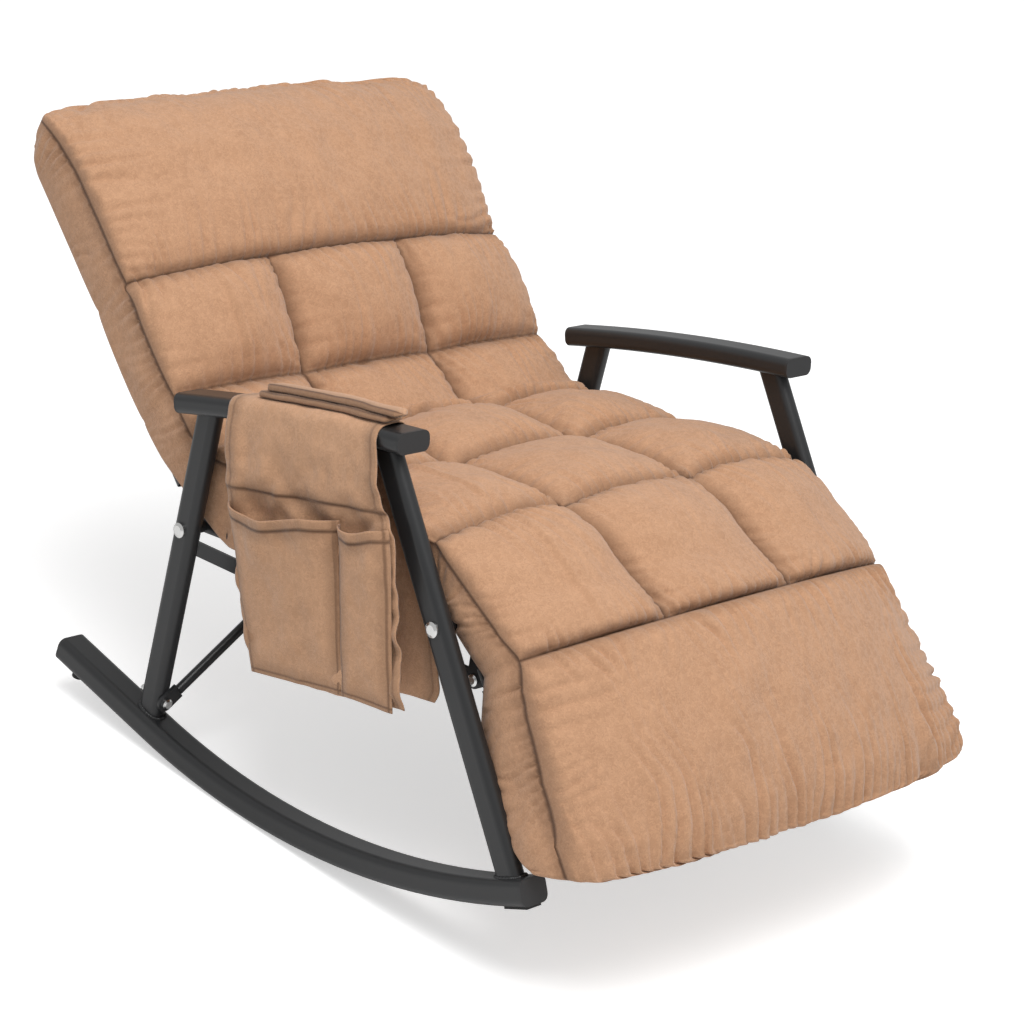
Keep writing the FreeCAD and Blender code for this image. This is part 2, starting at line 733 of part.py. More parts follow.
LUG_RADIUS = 11
BRACE_PLANE = S.leg_depth / 2
BRACE = Line(REAR_LEG.at(0, BRACE_PLANE), math.degrees(REAR_LEG.angle), 1)


def build_braces():
    """Rods with flattened ends, from the rear legs' feet to the rear cross bar."""
    for label, side in SIDES:
        foot = Vector(side * S.side_plane, S.brace_foot, 0)
        head = Vector(side * S.brace_head_x, S.brace_head_up, 0)
        run = head - foot
        degrees = math.degrees(math.atan2(run.y, run.x))
        local = Placement(foot, Rotation(Vector(0, 0, 1), degrees))
        at = BRACE.upright(0, 0, 0).multiply(local)
        tabs = new_body(f"brace_tabs_{label}", at)
        outline = new_sketch(tabs, "outline", "XY_Plane")
        sketch_lobes(outline, [(0, 0, LUG_RADIUS), (run.Length, 0, LUG_RADIUS)])
        pad(tabs, outline, "Sizes.brace_tab")
        waist = new_sketch(tabs, "waist", "XY_Plane")
        inset = 2 * LUG_RADIUS
        middle = run.Length / 2
        corners = [
            (inset, S.brace_size / 4),
            (run.Length - inset, S.brace_size / 4),
            (run.Length - inset, 2 * LUG_RADIUS),
            (inset, 2 * LUG_RADIUS),
        ]
        for i in range(4):
            add_line(waist, corners[i], corners[(i + 1) % 4])
            add_line(
                waist,
                (corners[i][0], -corners[i][1]),
                (corners[(i + 1) % 4][0], -corners[(i + 1) % 4][1]),
            )
        removal = tabs.newObject("PartDesign::Pocket", "waist_cut")
        removal.Profile = waist
        removal.SideType = "Symmetric"
        removal.setExpression("Length", "4 * Sizes.brace_tab")
        holes = [("Sizes.bolt_hole", (0, 0)), ("Sizes.bolt_hole", (run.Length, 0))]
        drill(tabs, "bolts", holes, "4 * Sizes.brace_tab")
        rod_length = f"{2 * middle} - {2 * inset}"
        rod_at = at.multiply(
            Placement(Vector(inset, 0, S.brace_tab / 2), Rotation(Vector(0, 1, 0), 90))
        )
        rod = cylinder(f"brace_rod_{label}", "Sizes.brace_size / 2", rod_length, rod_at)
        name = f"rear_brace_{label}"
        keep(fuse(name, [tabs, rod]), name)


# Fasteners


def build_bolt(name, at, length, head, head_height, shank):
    """A bolt turned about its own Z, with its head below the origin and a low dome."""
    body = new_body(name, at)
    profile = new_sketch(body, "profile", "XZ_Plane")
    r, h, s = value(head) / 2, value(head_height), value(shank) / 2
    rim = 0.6 * h
    points = [(0, -h), (0.62 * r, -h), (r, -rim), (r, 0), (s, 0), (s, length - 0.8), (s - 0.8, length), (0, length)]
    for i in range(len(points)):
        add_line(profile, points[i], points[(i + 1) % len(points)])
    turn = body.newObject("PartDesign::Revolution", "turned")
    turn.Profile = profile
    turn.ReferenceAxis = (profile, ["V_Axis"])
    turn.Angle = 360
    return body


def build_nut(name, at):
    """A hexagonal nut whose bore clears its bolt."""
    prism = doc.addObject("Part::Prism", f"{name}_prism")
    prism.Polygon = 6
    prism.setExpression("Circumradius", "Sizes.nut_size / 2")
    prism.setExpression("Height", "Sizes.nut_height")
    prism.Placement = at
    bore = cylinder(f"{name}_bore", "Sizes.bolt_shank / 2 + Sizes.pin_play", "Sizes.nut_height", at)
    return cut(name, prism, [bore])


def build_side_bolts():
    """Bolts, spacers and nuts that hold the seat tubes between the legs."""
    bolts, nuts, spacers = [], [], []
    outer = S.side_plane + S.leg_width / 2
    inner = S.rail_x - S.frame_tube / 2 - S.weld_gap - S.plate
    leg_face = S.side_plane - S.leg_width / 2
    for label, side in SIDES:
        way = Rotation(Vector(0, 1, 0), -90 * side)
        for end, bolt in (("front", front_bolt), ("rear", rear_bolt)):
            name = f"{end}_{label}"
            at = Placement(Vector(side * outer, *bolt), way)
            length = outer - inner + S.nut_height + 1
            bolts.append(
                build_bolt(
                    f"bolt_{name}",
                    at,
                    length,
                    "Sizes.bolt_head",
                    "Sizes.bolt_head_height",
                    "Sizes.bolt_shank",
                )
            )
            at = Placement(Vector(side * inner, *bolt), way)
            nuts.append(build_nut(f"nut_{name}", at))
            rail_face = S.rail_x + S.frame_tube / 2
            at = Placement(Vector(side * leg_face, *bolt), way)
            height = f"{leg_face} - {rail_face}"
            ring = cylinder(f"spacer_ring_{name}", "Sizes.spacer_size / 2", height, at)
            bore = cylinder(f"spacer_bore_{name}", "Sizes.bolt_hole / 2", height, at)
            spacers.append(cut(f"spacer_{name}", ring, [bore]))
    group("side_bolts", bolts)
    group("side_nuts", nuts)
    group("side_spacers", spacers)


def build_brace_bolts():
    """Bolts of the braces: through the legs below, through the lugs above."""
    bolts = []
    flip = Placement(Vector(), Rotation(Vector(1, 0, 0), 180))
    for label, side in SIDES:
        at = BRACE.upright(S.brace_foot, S.brace_tab, side * S.side_plane).multiply(flip)
        length = S.brace_tab + S.leg_depth + 6
        size = ("Sizes.bolt_head - 4", "Sizes.bolt_head_height", "Sizes.bolt_shank")
        bolts.append(build_bolt(f"brace_foot_bolt_{label}", at, length, *size))
        at = BRACE.upright(S.brace_head_up, 2 * S.brace_tab, side * S.brace_head_x).multiply(flip)
        bolts.append(build_bolt(f"brace_head_bolt_{label}", at, 2 * S.brace_tab + 6, *size))
    group("brace_bolts", bolts)


# Hinges and links

CRANK = (
    S.crank * math.cos(math.radians(S.crank_angle)),
    S.crank * math.sin(math.radians(S.crank_angle)),
)
FIXED_PLATE_X = S.rail_x - S.frame_tube / 2 - S.weld_gap - S.plate
MOVING_PLATE_X = FIXED_PLATE_X - S.plate_gap - S.plate
LINK_X = MOVING_PLATE_X - S.plate_gap - S.plate


def in_line(line, point):
    """A point of the side plane as (along, above) a line."""
    dy, dz = point[0] - line.origin[0], point[1] - line.origin[1]
    c, s = math.cos(line.angle), math.sin(line.angle)
    return dy * c + dz * s, line.above * (dz * c - dy * s)


def anticlockwise(lobes):
    """Lobes in anticlockwise order about their middle."""
    mx = sum(l[0] for l in lobes) / len(lobes)
    my = sum(l[1] for l in lobes) / len(lobes)
    return sorted(lobes, key=lambda l: math.atan2(l[1] - my, l[0] - mx))


def build_plate(name, line, inner_x, side, lobes, holes):
    """A plate in the side plane; inner_x is its face nearer the chair's middle."""
    outward = side * line.above
    x = side * (inner_x if outward > 0 else inner_x + S.plate)
    body = new_body(name, line.flat(0, 0, x))
    outline = new_sketch(body, "outline", "XY_Plane")
    sketch_lobes(outline, anticlockwise(lobes))
    pad(body, outline, "Sizes.plate")
    drill(body, "drilled", holes, "4 * Sizes.plate")
    keep(body, name)


def build_hinges():
    hinge_hole = "Sizes.pin_size + 2 * Sizes.pin_play"
    link_hole = "Sizes.link_pin_size + 2 * Sizes.pin_play"
    crank_on_back = in_line(BACK, (back_hinge[0] + CRANK[0], back_hinge[1] + CRANK[1]))
    crank_on_leg = in_line(LEG_REST, (leg_hinge[0] + CRANK[0], leg_hinge[1] + CRANK[1]))
    front_on_seat = in_line(SEAT, front_bolt)
    leg_hinge_on_seat = in_line(SEAT, leg_hinge)
    for label, side in SIDES:
        build_plate(
            f"back_hinge_bracket_{label}",
            SEAT,
            FIXED_PLATE_X,
            side,
            [(0, 0, 12), (S.back_hinge_behind, 0, 14)],
            [(hinge_hole, (0, 0)), ("Sizes.bolt_hole", (S.back_hinge_behind, 0))],
        )
        build_plate(
            f"leg_hinge_bracket_{label}",
            SEAT,
            FIXED_PLATE_X,
            side,
            [(*leg_hinge_on_seat, 12), (*front_on_seat, 12), (front_on_seat[0] - 22, 0, 10)],
            [(hinge_hole, leg_hinge_on_seat), ("Sizes.bolt_hole", front_on_seat)],
        )
        build_plate(
            f"back_hinge_plate_{label}",
            BACK,
            MOVING_PLATE_X,
            side,
            [(0, 0, 13), (*crank_on_back, 10), (S.back_tube_start + S.plate_weld, S.back_tube_above, 9)],
            [(hinge_hole, (0, 0)), (link_hole, crank_on_back)],
        )
        build_plate(
            f"leg_hinge_plate_{label}",
            LEG_REST,
            MOVING_PLATE_X,
            side,
            [(0, 0, 12), (*crank_on_leg, 10), (S.leg_tube_start + S.plate_weld, S.leg_tube_above, 9)],
            [(hinge_hole, (0, 0)), (link_hole, crank_on_leg)],
        )


def link_ends():
    """The rear and front pins of a link, in the side plane."""
    rear = (back_hinge[0] + CRANK[0], back_hinge[1] + CRANK[1])
    front = (leg_hinge[0] + CRANK[0], leg_hinge[1] + CRANK[1])
    return rear, front


def build_links():
    rear, front = link_ends()
    line = Line(rear, toward(rear, front), -1)
    length = math.dist(rear, front)
    for label, side in SIDES:
        build_plate(
            f"link_bar_{label}",
            line,
            LINK_X,
            side,
            [(0, 0, S.link_width / 2 + 1), (length, 0, S.link_width / 2 + 1)],
            [
                ("Sizes.link_pin_size + 2 * Sizes.pin_play", (0, 0)),
                ("Sizes.link_pin_size + 2 * Sizes.link_play", (length, 0)),
            ],
        )


def build_pins(name, point, layers, size):
    """Riveted pins at one hinge on both sides, with a head at each end of the layers."""
    pins = []
    inner, outer = layers
    for label, side in SIDES:
        way = Rotation(Vector(0, 1, 0), -90 * side)
        at = Placement(Vector(side * outer, *point), way)
        rivet = build_bolt(
            f"{name}_{label}",
            at,
            outer - inner,
            f"{size} + 6",
            "Sizes.pin_head",
            size,
        )
        far = Placement(Vector(side * (inner + S.plate_gap / 2), *point), way)
        cap = cylinder(
            f"{name}_cap_{label}", f"{size} / 2 + 3", "Sizes.pin_head - Sizes.plate_gap / 2", far
        )
        pins.append(fuse(f"{name}_pin_{label}", [rivet, cap]))
    group(name, pins)


def build_all_pins():
    clear = S.plate_gap / 2
    bracket = FIXED_PLATE_X + S.plate + clear
    head_gap = (MOVING_PLATE_X - clear - clear, bracket)
    build_pins("back_hinge_pins", back_hinge, head_gap, "Sizes.pin_size")
    build_pins("leg_hinge_pins", leg_hinge, head_gap, "Sizes.pin_size")
    rear, front = link_ends()
    link_gap = (LINK_X - clear - clear, MOVING_PLATE_X + S.plate + clear)
    build_pins("rear_link_pins", rear, link_gap, "Sizes.link_pin_size")
    build_pins("front_link_pins", front, link_gap, "Sizes.link_pin_size")


# Back and leg-rest frames


def build_hoop(name, line, above, start, end, bend):
    """A tube bent to a hoop: two side runs and a bar across their far end."""
    body = new_body(name, line.upright(value(end), value(above)))
    section = new_sketch(body, "section", "YZ_Plane")
    sketch_ring(section, "Sizes.frame_tube")
    spine = new_sketch(body, "half_run", "XY_Plane")
    half, r = MOVING_TUBE_X, value(bend)
    run = value(end) - value(start)
    first = add_line(spine, (0, 0), (half - r, 0))
    corner = add_arc(spine, (half - r, -r), r, 0, 90)
    side = add_line(spine, (half, -r), (half, -run))
    spine.addConstraint(Sketcher.Constraint("Coincident", first, 1, -1, 1))
    spine.addConstraint(Sketcher.Constraint("Horizontal", first))
    spine.addConstraint(Sketcher.Constraint("Tangent", first, 2, corner, 2))
    spine.addConstraint(Sketcher.Constraint("Tangent", corner, 1, side, 1))
    spine.addConstraint(Sketcher.Constraint("Vertical", side))
    bind(spine, Sketcher.Constraint("Radius", corner, r), "bend", bend)
    reach = "Sizes.rail_x - Sizes.plate - Sizes.plate_gap"
    bind(spine, Sketcher.Constraint("DistanceX", -1, 1, side, 1, half), "half", reach)
    down = Sketcher.Constraint("DistanceY", side, 2, -1, 1, run)
    bind(spine, down, "run", f"{end} - {start}")
    pipe = sweep(body, "half_hoop", section, spine)
    mirrored = body.newObject("PartDesign::Mirrored", "other_half")
    mirrored.Originals = [pipe]
    mirrored.MirrorPlane = (origin_plane(body, "YZ_Plane"), [""])
    body.Tip = mirrored
    keep(body, name)


def build_moving_frames():
    build_hoop(
        "back_frame",
        BACK,
        "Sizes.back_tube_above",
        "Sizes.back_tube_start",
        "Sizes.back_tube_end",
        "Sizes.back_bend",
    )
    build_hoop(
        "leg_rest_frame",
        LEG_REST,
        "Sizes.leg_tube_above",
        "Sizes.leg_tube_start",
        "Sizes.leg_tube_end",
        "Sizes.leg_bend",
    )
    bar = coped_bar(
        "back_bar",
        BACK.upright(S.back_bar_at, S.back_tube_above),
        MOVING_TUBE_X,
        "Sizes.cross_tube",
        tube_sockets("back_bar", BACK, MOVING_TUBE_X, S.back_tube_above, S.back_bar_at),
    )
    keep(bar, "back_cross_bar")


# Slings


def build_sling(name, line, tube_x, above, start, end):
    """A woven sheet drawn over two tubes, with a hem round each."""
    run = f"{end} - {start}"
    hem = "Sizes.frame_tube / 2 + Sizes.sling_gap"
    outers, inners = [], []
    for label, side in SIDES:
        at = line.upright(start, above, side * tube_x).multiply(
            Placement(Vector(), Rotation(Vector(1, 0, 0), -90))
        )
        outers.append(cylinder(f"{name}_hem_{label}", f"{hem} + Sizes.sling", run, at))
        inners.append(cylinder(f"{name}_bore_{label}", hem, run, at))
    sheet_box = doc.addObject("Part::Box", f"{name}_sheet")
    sheet_box.Length = 2 * tube_x
    sheet_box.setExpression("Width", run)
    sheet_box.setExpression("Height", "Sizes.sling")
    lift = S.frame_tube / 2 + S.sling_gap
    sheet_box.Placement = line.upright(start, above).multiply(
        Placement(Vector(-tube_x, 0, lift), Rotation())
    )
    whole = fuse(f"{name}_whole", [sheet_box] + outers)
    keep(cut(name, whole, inners), name)


def build_slings():
    clear = S.cross_tube / 2 + 3
    build_sling("seat_sling", SEAT, S.rail_x, 0, S.rear_bar_at + clear, S.front_bar_at - clear)
    build_sling(
        "back_sling",
        BACK,
        MOVING_TUBE_X,
        S.back_tube_above,
        S.back_bar_at + clear,
        S.back_tube_end - S.back_bend - 6,
    )
    build_sling(
        "leg_rest_sling",
        LEG_REST,
        MOVING_TUBE_X,
        S.leg_tube_above,
        S.leg_tube_start + S.plate_weld + 12,
        S.leg_tube_end - S.leg_bend - 4,
    )


# Quilt


def arc_edge(start, middle, end):
    return Part.Arc(start, middle, end).toShape()


def quilt_section(low, high, crown, tiles, taper=1.0, bow=0.0):
    """A closed outline across the quilt, from its underside up to its sewn or puffed top.

    low and high are (y, z) in the side plane. Above high, the seams between tiles rise by bow
    in the middle of the quilt, and each tile stands crown over them.
    """
    up = Vector(0, high[0] - low[0], high[1] - low[1])
    up.normalize()
    half = CUSHION_HALF * taper
    under = half - S.cushion_tuck
    base = Vector(0, *low)
    seam = Vector(0, *high)
    side = Vector(1, 0, 0)

    def over(x):
        return bow * (1 - (x / half) ** 2)

    edge = [half * (2 * i / tiles - 1) for i in range(tiles + 1)]
    dip = max(crown - S.tile_depth, 0)
    top = [seam + side * x + up * (over(x) + dip) for x in edge]
    top[0], top[-1] = seam - side * half, seam + side * half
    edges = [
        Part.LineSegment(base + side * under, base - side * under).toShape(),
        Part.LineSegment(base - side * under, top[0]).toShape(),
    ]
    for i in range(tiles):
        x = (edge[i] + edge[i + 1]) / 2
        middle = seam + side * x + up * (over(x) + crown + 0.6)
        edges.append(arc_edge(top[i], middle, top[i + 1]))
    edges.append(Part.LineSegment(top[-1], base + side * under).toShape())
    return Part.Wire(edges)


def quilt_row(stations, tiles):
    """A puffed row: a smooth loft through outlines (low, high, crown, taper, bow)."""
    wires = [quilt_section(*station[:3], tiles, *station[3:]) for station in stations]
    return Part.makeLoft(wires, True, False)


def mix(a, b, share):
    return a[0] + (b[0] - a[0]) * share, a[1] + (b[1] - a[1]) * share


# How far along a row each outline stands, and the share of the full crown there
PUFF = ((0.0, 0.0), (0.14, 0.62), (0.5, 1.0), (0.86, 0.62), (1.0, 0.0))


def even_row(lows, high0, high1, tiles, bows=(0.0, 0.0)):
    """A row between two seams, with its crown in the middle and lows under its outlines."""
    stations = []
    for number, (share, puff) in enumerate(PUFF):
        low = lows[number] if len(lows) > 2 else mix(lows[0], lows[1], share)
        bow = bows[0] + (bows[1] - bows[0]) * share
        stations.append((low, mix(high0, high1, share), S.row_crown * puff, 1.0, bow))
    return quilt_row(stations, tiles)


def soft_piece(name, shape):
    piece = doc.addObject("Part::Feature", name)
    piece.Shape = shape
    keep(piece, name)


CUSHION_HALF = S.side_plane - S.leg_width / 2 - S.cushion_leg_gap
SEAT_BOTTOM = S.frame_tube / 2 + S.sling_gap + S.sling + S.quilt_gap
BACK_BOTTOM = S.back_tube_above + SEAT_BOTTOM
LEG_BOTTOM = S.leg_tube_above + SEAT_BOTTOM
# The outlines of the two full-width pads: share of the length, lift of the underside, drop of
# the edge seam below the rows' seams, rise of the middle over it, and share of the full width
HEAD_STATIONS = (
    (0.0, 0.0, 0, 28, 1.0),
    (0.12, 0.3, -1, 37, 1.0),
    (0.42, 1.2, -4, 41, 1.0),
    (0.7, 3.4, 0, 38, 0.99),
    (0.88, 8, 11, 31, 0.97),
    (1.0, 17, 24, 14, 0.93),
)
LEG_STATIONS = (
    (0.0, 0.0, 5, 34, 1.0),
    (0.12, 0.8, 13, 46, 1.01),
    (0.45, 3.2, 19, 56, 1.035),
    (0.78, 8.5, 22, 50, 1.06),
    (0.94, 16, 25, 36, 1.065),
    (1.0, 27, 28, 18, 1.05),
)


def full_width_pad(line, start, end, bottom, stations):
    """A pad across the whole quilt, with a rounded far end."""
    outlines = []
    for share, lift, drop, rise, taper in stations:
        along = start + (end - start) * share
        low = line.at(along, bottom + lift)
        high = line.at(along, S.seam_height - drop)
        outlines.append((low, high, rise, taper))
    return quilt_row(outlines, 1)


def build_quilt():
    gap = S.quilt_gap
    seam = S.seam_height
    leg_seam = seam - LEG_STATIONS[0][2]

    def on(line, bottom, along):
        return line.at(along, bottom), line.at(along, seam)

    lumbar_front = on(SEAT, SEAT_BOTTOM, S.lumbar_end)
    seat_rear = on(SEAT, SEAT_BOTTOM, S.lumbar_end + gap)
    seat_middle = on(SEAT, SEAT_BOTTOM, S.seat_seam)
    seat_front = on(SEAT, SEAT_BOTTOM, S.seat_end)
    knee_rear = on(SEAT, SEAT_BOTTOM, S.seat_end + gap)
    back_low = on(BACK, BACK_BOTTOM, S.back_start)
    lumbar_rear = on(BACK, BACK_BOTTOM, S.back_start - gap)
    back_high = on(BACK, BACK_BOTTOM, S.head_seam - gap)
    level = (S.seat_bow, S.seat_bow)

    rear = even_row((seat_rear[0], seat_middle[0]), seat_rear[1], seat_middle[1], 3, level)
    front = even_row((seat_middle[0], seat_front[0]), seat_middle[1], seat_front[1], 3, level)
    soft_piece("seat_cushion", rear.fuse(front))

    lows = (back_low[0], back_high[0])
    back_row = even_row(lows, back_low[1], back_high[1], 3, (0.0, S.head_bow))
    soft_piece("back_cushion", back_row)
    head = full_width_pad(BACK, S.head_seam, S.head_end, BACK_BOTTOM, HEAD_STATIONS)
    soft_piece("head_roll", head)

    lows = (lumbar_rear[0], lumbar_front[0])
    lumbar = even_row(lows, lumbar_rear[1], lumbar_front[1], 3, (0.0, S.seat_bow))
    soft_piece("lumbar_roll", lumbar)

    knee_end = LEG_REST.at(S.leg_pad_start - gap, leg_seam)
    under_knee = (
        knee_rear[0],
        SEAT.at(S.seat_end + 20, SEAT_BOTTOM + 0.5),
        SEAT.at(seat_length + 26, SEAT_BOTTOM + 1.5),
        LEG_REST.at(S.leg_pad_start - 22, LEG_BOTTOM + 2),
        LEG_REST.at(S.leg_pad_start - gap, LEG_BOTTOM),
    )
    knee = even_row(under_knee, knee_rear[1], knee_end, 3, (S.seat_bow, S.knee_bow))
    soft_piece("knee_roll", knee)
    leg_pad = full_width_pad(
        LEG_REST, S.leg_pad_start, S.leg_pad_end, LEG_BOTTOM, LEG_STATIONS
    )
    soft_piece("leg_pad", leg_pad)


# Side bag

# Outer panel, as (y, z) with level armrests: it hangs off the armrest and sags forward
BAG_PANEL = ((-67, 505), (-69, 420), (-104, 211), (-252, 213), (-345, 204), (-331, 405), (-303, 505))
BAG_INNER = ((-75, 490), (-84, 300), (-110, 214), (-252, 212), (-338, 214), (-326, 400), (-300, 490))
POCKETS = (("rear", -112, -240), ("front", -243, -336))
BAG_SIDE = -1


def bag_panel(name, outline, x):
    """A cloth panel in a plane of constant x, from an outline (y, z)."""
    body = new_body(name, Placement(Vector(x, 0, 0), Rotation()))
    sketch = new_sketch(body, "outline", "YZ_Plane")
    for i in range(len(outline)):
        add_line(sketch, outline[i], outline[(i + 1) % len(outline)])
    pad(body, sketch, "Sizes.bag_cloth")
    return body


def bag_strap(name, outline, y0, y1):
    """A strip of cloth over the armrest, from an outline (x, z) run along y."""
    body = new_body(name, Placement(Vector(0, y1, 0), Rotation()))
    sketch = new_sketch(body, "outline", "XZ_Plane")
    for i in range(len(outline)):
        add_line(sketch, outline[i], outline[(i + 1) % len(outline)])
    pad(body, sketch, f"{y1 - y0}")
    return body


def build_bag():
    cloth = S.bag_cloth
    outer = BAG_SIDE * (S.side_plane + S.bag_outer_out)
    inner = BAG_SIDE * (S.side_plane - S.bag_inner_in)
    top = S.armrest_middle_z + S.armrest_height / 2 + 0.3
    lip_out = BAG_SIDE * (S.side_plane + S.armrest_width / 2 + 1.5)
    lip_in = BAG_SIDE * (S.side_plane - S.armrest_width / 2 - 1.5)
    over = [
        (outer, 503),
        (lip_out - cloth, top - 4),
        (lip_out + 4, top + cloth),
        (lip_in - 4, top + cloth),
        (lip_in + cloth, top - 4),
        (lip_in + cloth, 484),
        (inner + cloth, 440),
        (inner + cloth, 428),
        (inner, 428),
        (inner, 440),
        (lip_in, 484),
        (lip_in, top - 4),
        (lip_in - 4, top),
        (lip_out + 4, top),
        (lip_out, top - 4),
        (outer + cloth, 503),
    ]
    strap = bag_strap("bag_strap", over, -303, -72)
    outer_panel = bag_panel("bag_outer_panel", BAG_PANEL, outer)
    inner_low = [(y, min(z, 430)) for y, z in BAG_INNER]
    inner_panel = bag_panel("bag_inner_panel", inner_low, inner)
    keep(fuse("side_bag", [strap, outer_panel, inner_panel]), "side_bag")

    depth = S.pocket_depth
    floor, mouth = S.pocket_floor_z, S.pocket_mouth_z
    face = outer - 0.3
    for label, y1, y0 in POCKETS:
        outside = [(face, floor), (face, mouth), (face - depth, mouth), (face - 7, floor)]
        inside = [
            (face - cloth, floor + cloth + 2),
            (face - cloth, mouth + 5),
            (face - depth - 1 + cloth + 1, mouth + 5),
            (face - depth + cloth, mouth - 2),
            (face - 7 + cloth - 1.5, floor + cloth + 2),
        ]
        shell = bag_strap(f"pocket_shell_{label}", outside, y0, y1)
        hollow = bag_strap(f"pocket_hollow_{label}", inside, y0 + cloth, y1 - cloth)
        name = f"bag_pocket_{label}"
        keep(cut(name, shell, [hollow]), name)


# The chair


def build_chair():
    for label, side in SIDES:
        x = side * S.side_plane
        build_runner(label, x)
        build_leg(f"front_leg_{label}", FRONT_LEG, x, front_bolt, False)
        build_leg(f"rear_leg_{label}", REAR_LEG, x, rear_bolt, True)
        build_armrest(label, x)
        build_rail(label, side)
    build_runner_trim()
    build_armrest_plugs()
    build_cross_bars()
    build_braces()
    build_side_bolts()
    build_brace_bolts()
    build_hinges()
    build_links()
    build_all_pins()
    build_moving_frames()
    build_slings()
    build_quilt()
    build_bag()


def export_all():
    """Check every object and every piece, then write one STEP file for each piece."""
    doc.recompute()
    for item in doc.Objects:
        if "Invalid" in item.State or "Error" in item.State:
            raise RuntimeError(f"{item.Label} failed: {item.State}")
    for piece in PIECES:
        if piece.Shape.isNull() or not piece.Shape.isValid():
            raise RuntimeError(f"{piece.Label} has no valid shape")
        if not piece.Shape.Solids:
            raise RuntimeError(f"{piece.Label} has no solid")
    os.makedirs("parts", exist_ok=True)
    for piece in PIECES:
        piece.Shape.exportStep(f"parts/{piece.Label}.step")
        print(piece.Label, len(piece.Shape.Solids), round(piece.Shape.Volume))


build_chair()
export_all()
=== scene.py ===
"""Looks of the rocking recliner: quilt, slings, side bag, materials, floor, lights and camera.

Points of the side plane are worked out with level armrests, in millimetres, as (x, y, z) or as
(along, above) one of three lines, and are then rocked back with the chair and put in metres.
"""

import json
import math
from collections import namedtuple

import bmesh
import bpy
import numpy as np
from mathutils import Matrix, Vector


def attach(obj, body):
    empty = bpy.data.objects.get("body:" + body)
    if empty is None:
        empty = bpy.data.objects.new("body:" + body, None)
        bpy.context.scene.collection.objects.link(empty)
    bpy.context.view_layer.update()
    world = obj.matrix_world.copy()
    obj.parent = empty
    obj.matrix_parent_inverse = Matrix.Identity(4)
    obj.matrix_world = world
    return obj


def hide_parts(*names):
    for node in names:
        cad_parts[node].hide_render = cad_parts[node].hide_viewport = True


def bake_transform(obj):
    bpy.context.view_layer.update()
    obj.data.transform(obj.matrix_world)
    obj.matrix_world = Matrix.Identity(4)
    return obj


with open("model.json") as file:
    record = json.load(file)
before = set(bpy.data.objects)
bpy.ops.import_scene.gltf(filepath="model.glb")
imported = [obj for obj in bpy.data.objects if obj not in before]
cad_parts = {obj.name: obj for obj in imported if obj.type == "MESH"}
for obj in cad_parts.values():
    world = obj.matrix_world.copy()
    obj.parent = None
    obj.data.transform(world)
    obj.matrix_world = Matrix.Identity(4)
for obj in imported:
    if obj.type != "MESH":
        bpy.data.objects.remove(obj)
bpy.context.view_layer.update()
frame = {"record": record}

# The chair's attitude and its three lines, as the CAD parts have them
ROCK = math.radians(14.8)
RUNNER_CENTRE = (-292.0, 986.0)
SIDE_PLANE = 330.0
REAR_BOLT = np.array([38.4, 349.0])
FRONT_BOLT = np.array([-371.0, 302.5])


def rocked(points):
    """Points (x, y, z) in millimetres with level armrests, as metres in the rest pose."""
    p = np.asarray(points, float)
    y = p[..., 1] - RUNNER_CENTRE[0]
    z = p[..., 2] - RUNNER_CENTRE[1]
    c, s = math.cos(ROCK), math.sin(ROCK)
    out = np.stack([p[..., 0], y * c + z * s, z * c - y * s + RUNNER_CENTRE[1]], axis=-1)
    return out / 1000.0


class Line:
    """A line of the side plane: an origin, a unit vector along it and one above it."""

    def __init__(self, origin, degrees, above):
        a = math.radians(degrees)
        self.origin = np.asarray(origin, float)
        self.along = np.array([math.cos(a), math.sin(a)])
        self.above = above * np.array([-math.sin(a), math.cos(a)])

    def at(self, along, above):
        along = np.asarray(along, float)[..., None]
        above = np.asarray(above, float)[..., None]
        return self.origin + along * self.along + above * self.above


SEAT_RUN = FRONT_BOLT - REAR_BOLT
SEAT_LENGTH = float(np.hypot(*SEAT_RUN))
SEAT_DEGREES = math.degrees(math.atan2(SEAT_RUN[1], SEAT_RUN[0]))
BACK_DEGREES = 57.2
LEG_REST_DEGREES = 242.9
BACK_HINGE_BEHIND = 49.3
LEG_HINGE_AHEAD = 16
LEG_HINGE_BELOW = 22
BACK_HINGE = Line(REAR_BOLT, SEAT_DEGREES, -1).at(-BACK_HINGE_BEHIND, 0)
LEG_HINGE = Line(FRONT_BOLT, SEAT_DEGREES, -1).at(LEG_HINGE_AHEAD, -LEG_HINGE_BELOW)
SEAT = Line(BACK_HINGE, SEAT_DEGREES, -1)
BACK = Line(BACK_HINGE, BACK_DEGREES, 1)
LEG = Line(LEG_HINGE, LEG_REST_DEGREES, -1)


# Meshes


def new_mesh_object(name, verts, faces, smooth=True):
    mesh = bpy.data.meshes.new(name)
    mesh.from_pydata(np.asarray(verts, float).tolist(), [], faces)
    mesh.validate()
    mesh.polygons.foreach_set("use_smooth", [smooth] * len(mesh.polygons))
    mesh.update()
    obj = bpy.data.objects.new(name, mesh)
    bpy.context.scene.collection.objects.link(obj)
    return obj


def grid_faces(rows, columns, wrap=False):
    """Faces of a grid of points, in rows; wrap joins the last column to the first."""
    last = columns if wrap else columns - 1
    i, j = np.meshgrid(np.arange(rows - 1), np.arange(last), indexing="ij")
    k = (j + 1) % columns
    a, b = i * columns + j, i * columns + k
    c, d = (i + 1) * columns + k, (i + 1) * columns + j
    return np.stack([a, b, c, d], axis=-1).reshape(-1, 4).tolist()


